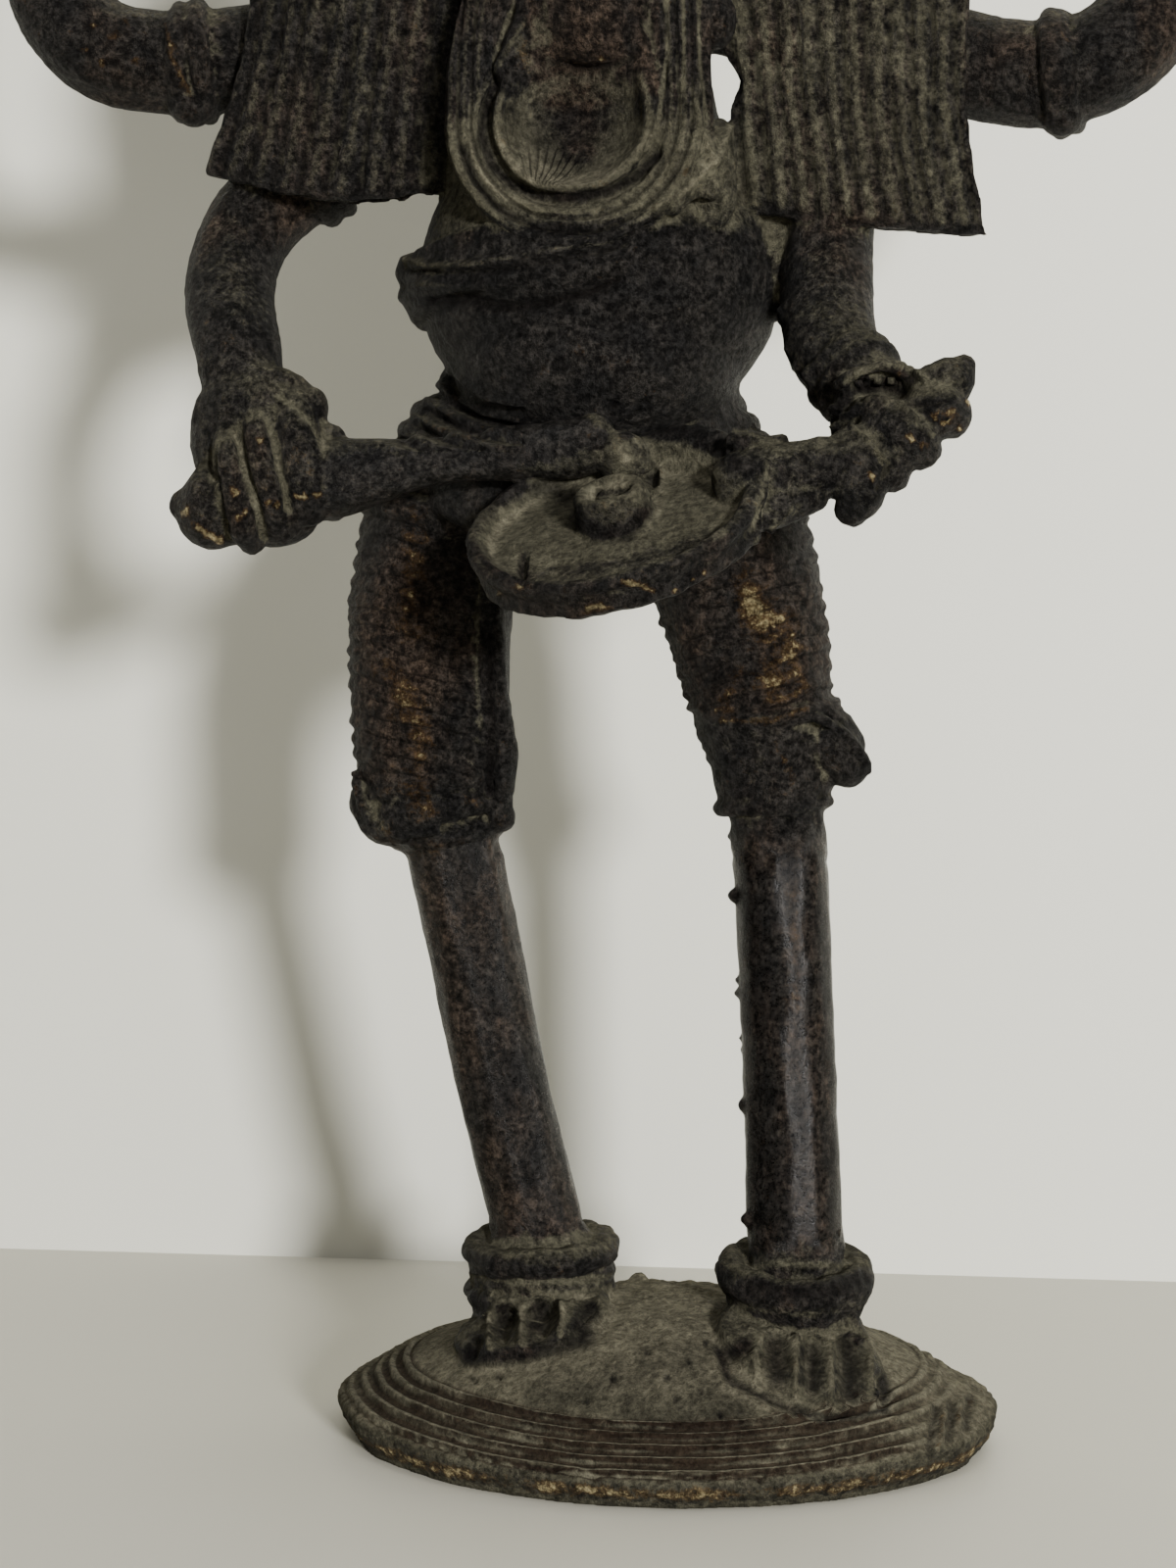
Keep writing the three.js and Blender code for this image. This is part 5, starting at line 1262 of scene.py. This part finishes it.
def brass_material():
    material = bpy.data.materials.new("aged_brass")
    material.use_nodes = True
    nodes, links = material.node_tree.nodes, material.node_tree.links
    shader = nodes["Principled BSDF"]

    def attr(name):
        node = nodes.new("ShaderNodeAttribute")
        node.attribute_name = name
        return node.outputs["Fac"]

    place = nodes.new("ShaderNodeTexCoord").outputs["Object"]

    def grain(scale, detail=3.0, rough=0.6, stretch=None):
        source = place
        if stretch:
            mapping = nodes.new("ShaderNodeMapping")
            mapping.inputs["Scale"].default_value = stretch
            links.new(place, mapping.inputs["Vector"])
            source = mapping.outputs["Vector"]
        node = nodes.new("ShaderNodeTexNoise")
        node.inputs["Scale"].default_value = scale
        node.inputs["Detail"].default_value = detail
        node.inputs["Roughness"].default_value = rough
        links.new(source, node.inputs["Vector"])
        return node.outputs["Fac"]

    def calc(kind, a, b=None, c=None, clamp=False):
        node = nodes.new("ShaderNodeMath")
        node.operation = kind
        node.use_clamp = clamp
        for i, value in enumerate((a, b, c)):
            if isinstance(value, (int, float)):
                node.inputs[i].default_value = value
            elif value is not None:
                links.new(value, node.inputs[i])
        return node.outputs[0]

    def plus(a, b, weight, middle=0.0):
        """a, plus the part of b above middle times a weight."""
        return calc("ADD", a, calc("MULTIPLY_ADD", b, weight, -middle * weight))

    def ramp(value, low, high, to_low=0.0, to_high=1.0):
        node = nodes.new("ShaderNodeMapRange")
        node.interpolation_type = "SMOOTHSTEP"
        links.new(value, node.inputs["Value"])
        for key, number in (("From Min", low), ("From Max", high), ("To Min", to_low), ("To Max", to_high)):
            node.inputs[key].default_value = number
        return node.outputs["Result"]

    def mix(share, a, b):
        node = nodes.new("ShaderNodeMix")
        node.data_type = "RGBA"
        links.new(share, node.inputs["Factor"])
        for key, value in ((6, a), (7, b)):
            if isinstance(value, tuple):
                node.inputs[key].default_value = (*value, 1)
            else:
                links.new(value, node.inputs[key])
        return node.outputs[2]

    def scaled(colour, factor):
        node = nodes.new("ShaderNodeVectorMath")
        node.operation = "SCALE"
        links.new(colour, node.inputs[0])
        links.new(factor, node.inputs["Scale"])
        return node.outputs[0]

    blotch, coarse, medium = grain(160, 5, 0.65), grain(330, 4), grain(800, 4, 0.65)
    fine, speck, grit = grain(2000, 3, 0.7), grain(4200, 2, 0.7), grain(1500, 5, 0.8)
    along_limb = grain(700, 4, 0.6, (1, 1, 0.16))
    # the marks' painted shade
    cavity, painted_shade = attr("cavity"), attr("dark")
    wave = calc("PINGPONG", attr("phase"), 0.5)
    # the ribs' crests and the flutes' ridges get dust and painted light; their grooves and the undersides of the
    # wound threads get painted shade
    rib_crest_dust_and_light = calc("MULTIPLY", attr("ribbed"), ramp(wave, 0.14, 0.29, 1.0, 0.0))
    rib_groove_shade = calc("MULTIPLY", attr("ribbed"), ramp(wave, 0.18, 0.32))
    flute_groove_shade = calc("MULTIPLY", attr("fluted"), ramp(wave, 0.28, 0.48))
    flute_ridge_dust_and_light = calc("MULTIPLY", attr("fluted"), ramp(wave, 0.04, 0.3, 1.0, 0.0))
    under_shade = calc("MULTIPLY", attr("wound"), ramp(calc("FRACT", attr("phase")), 0.0, 0.2, 1.0, 0.0))

    # patina: near-black brown, redder where the metal is rubbed
    dark = mix(ramp(coarse, 0.35, 0.65), (0.0065, 0.0062, 0.0060), (0.0145, 0.0131, 0.0117))
    redder = mix(ramp(medium, 0.3, 0.7), (0.0130, 0.0092, 0.0068), (0.034, 0.0240, 0.0172))
    redness = plus(plus(attr("red"), blotch, 1.1, 0.5), along_limb, 0.9, 0.5)
    patina = scaled(mix(ramp(redness, 0.25, 1.1), dark, redder), ramp(grit, 0.34, 0.66, 0.3, 2.0))

    # dust: khaki grey in hollows and on what faces up; on the crests of the ribs and the ridges of the flutes,
    # dust and painted light
    film = plus(plus(attr("dust"), medium, 0.75, 0.5), fine, 0.9, 0.5)
    film = plus(film, ramp(cavity, -0.1, 0.9), 0.3)
    film = plus(plus(plus(film, rib_crest_dust_and_light, 0.9), rib_groove_shade, -0.6), flute_ridge_dust_and_light, 0.42)
    film = plus(plus(film, grit, 0.6, 0.5), speck, 0.5, 0.5)
    film = calc("MULTIPLY", ramp(film, 0.28, 1.2), calc("SUBTRACT", 1.0, painted_shade), clamp=True)
    dusty = mix(ramp(blotch, 0.3, 0.7), (0.048, 0.0445, 0.0300), (0.084, 0.0790, 0.0545))
    dusty = mix(ramp(attr("dust"), 1.2, 2.0), dusty, (0.125, 0.115, 0.080))
    dusty = mix(calc("MULTIPLY", rib_crest_dust_and_light, 0.8), dusty, (0.130, 0.121, 0.086))
    shade = mix(film, patina, dusty)

    # wear: rubbed brown round bare brass, on ridges and where hands have been
    bare = plus(calc("ADD", attr("brass"), -0.2), ramp(cavity, -0.1, -1.0), 0.2)
    bare = plus(plus(plus(bare, coarse, 1.3, 0.5), medium, 0.8, 0.5), fine, 1.0, 0.5)
    bare = plus(bare, speck, 0.8, 0.5)
    rubbed, bare = ramp(bare, 0.15, 0.75), ramp(bare, 0.55, 1.0)
    glints = calc("MULTIPLY", ramp(speck, 0.72, 0.79), ramp(medium, 0.55, 0.72))
    bare = calc("MAXIMUM", bare, calc("MULTIPLY", glints, 0.5))
    shade = mix(calc("MULTIPLY", rubbed, 0.75), shade, (0.044, 0.0225, 0.0065))
    shade = mix(bare, shade, mix(ramp(fine, 0.3, 0.7), (0.10, 0.075, 0.035), (0.32, 0.27, 0.155)))

    # painted shade: the ribs' and flutes' grooves, the undersides of the wound threads and the marked hollows
    # stay dark
    shade = mix(calc("MULTIPLY", rib_groove_shade, 0.86), shade, (0.0200, 0.0125, 0.0078))
    shade = mix(calc("MULTIPLY", under_shade, 0.5), shade, (0.0030, 0.0027, 0.0025))
    shade = mix(calc("MULTIPLY", flute_groove_shade, 0.55), shade, (0.0040, 0.0032, 0.0027))
    shade = mix(calc("MULTIPLY", painted_shade, 0.8), shade, (0.0040, 0.0030, 0.0026))
    shade = scaled(shade, ramp(grit, 0.32, 0.68, 0.5, 1.45))
    shade = scaled(shade, ramp(medium, 0.3, 0.7, 0.75, 1.25))
    polish = attr("polish")
    shade = scaled(shade, calc("MULTIPLY_ADD", polish, -0.45, 1.0))
    links.new(shade, shader.inputs["Base Color"])

    links.new(calc("MULTIPLY", bare, 0.6), shader.inputs["Metallic"])
    rough = plus(plus(ramp(film, 0.0, 1.0, 0.52, 0.95), fine, 0.5, 0.5), bare, -0.15)
    rough = plus(plus(rough, polish, -0.3), calc("MULTIPLY", polish, film), -0.35)
    links.new(calc("MINIMUM", calc("MAXIMUM", rough, 0.22), 1.0), shader.inputs["Roughness"])
    shader.inputs["Specular IOR Level"].default_value = 0.08

    height = plus(plus(calc("MULTIPLY", medium, 0.40), grit, 0.9), speck, 0.2)
    height = plus(plus(plus(height, rib_crest_dust_and_light, 0.25), under_shade, -0.3), flute_groove_shade, -0.3)
    bump = nodes.new("ShaderNodeBump")
    links.new(calc("MULTIPLY_ADD", polish, -0.8, 1.0), bump.inputs["Strength"])
    bump.inputs["Distance"].default_value = 0.0009
    links.new(height, bump.inputs["Height"])
    links.new(bump.outputs["Normal"], shader.inputs["Normal"])
    return material


figure.data.materials.clear()
figure.data.materials.append(brass_material())
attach(figure, "root")
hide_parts("ganesha_figure")


# ---- table, wall and light ----

def plain_material(name, colour, rough):
    material = bpy.data.materials.new(name)
    material.use_nodes = True
    shader = material.node_tree.nodes["Principled BSDF"]
    shader.inputs["Base Color"].default_value = (*colour, 1)
    shader.inputs["Roughness"].default_value = rough
    return material


def sheet(name, corners, material):
    mesh = bpy.data.meshes.new(name)
    mesh.from_pydata(corners, [], [(0, 1, 2, 3)])
    mesh.materials.append(material)
    obj = bpy.data.objects.new(name, mesh)
    bpy.context.scene.collection.objects.link(obj)


WALL_Y = 0.071
sheet("table", [(-1.5, -1.5, 0), (1.5, -1.5, 0), (1.5, 1.5, 0), (-1.5, 1.5, 0)],
      plain_material("table_top", (0.53, 0.515, 0.44), 0.5))
wall = plain_material("wall", (0.66, 0.655, 0.58), 0.6)
# seen from behind, the wall is clear, so that the figure's back can be looked at
tree = wall.node_tree
clear, either = tree.nodes.new("ShaderNodeBsdfTransparent"), tree.nodes.new("ShaderNodeMixShader")
tree.links.new(tree.nodes.new("ShaderNodeNewGeometry").outputs["Backfacing"], either.inputs[0])
tree.links.new(tree.nodes["Principled BSDF"].outputs[0], either.inputs[1])
tree.links.new(clear.outputs[0], either.inputs[2])
tree.links.new(either.outputs[0], tree.nodes["Material Output"].inputs["Surface"])
sheet("wall", [(-1.5, WALL_Y, 0), (1.5, WALL_Y, 0), (1.5, WALL_Y, 1.5), (-1.5, WALL_Y, 1.5)], wall)


def lamp(name, place, target, size, power, colour=(1, 1, 1)):
    light = bpy.data.lights.new(name, "AREA")
    light.shape = "DISK"
    light.size = size
    light.energy = power
    light.color = colour
    obj = bpy.data.objects.new(name, light)
    bpy.context.scene.collection.objects.link(obj)
    obj.location = place
    obj.rotation_euler = (Vector(target) - Vector(place)).to_track_quat("-Z", "Y").to_euler()


lamp("key", (0.42, -0.86, 0.20), (0, 0, 0.09), 0.13, KEY_POWER, (1.0, 0.99, 0.97))
lamp("overhead", (0.12, -0.25, 0.85), (0, 0, 0.05), 0.7, OVERHEAD_POWER, (1.0, 0.98, 0.95))
world = bpy.data.worlds.new("studio")
bpy.context.scene.world = world
world.use_nodes = True
world.node_tree.nodes["Background"].inputs[0].default_value = (1.0, 0.985, 0.95, 1)
world.node_tree.nodes["Background"].inputs[1].default_value = WORLD_LIGHT
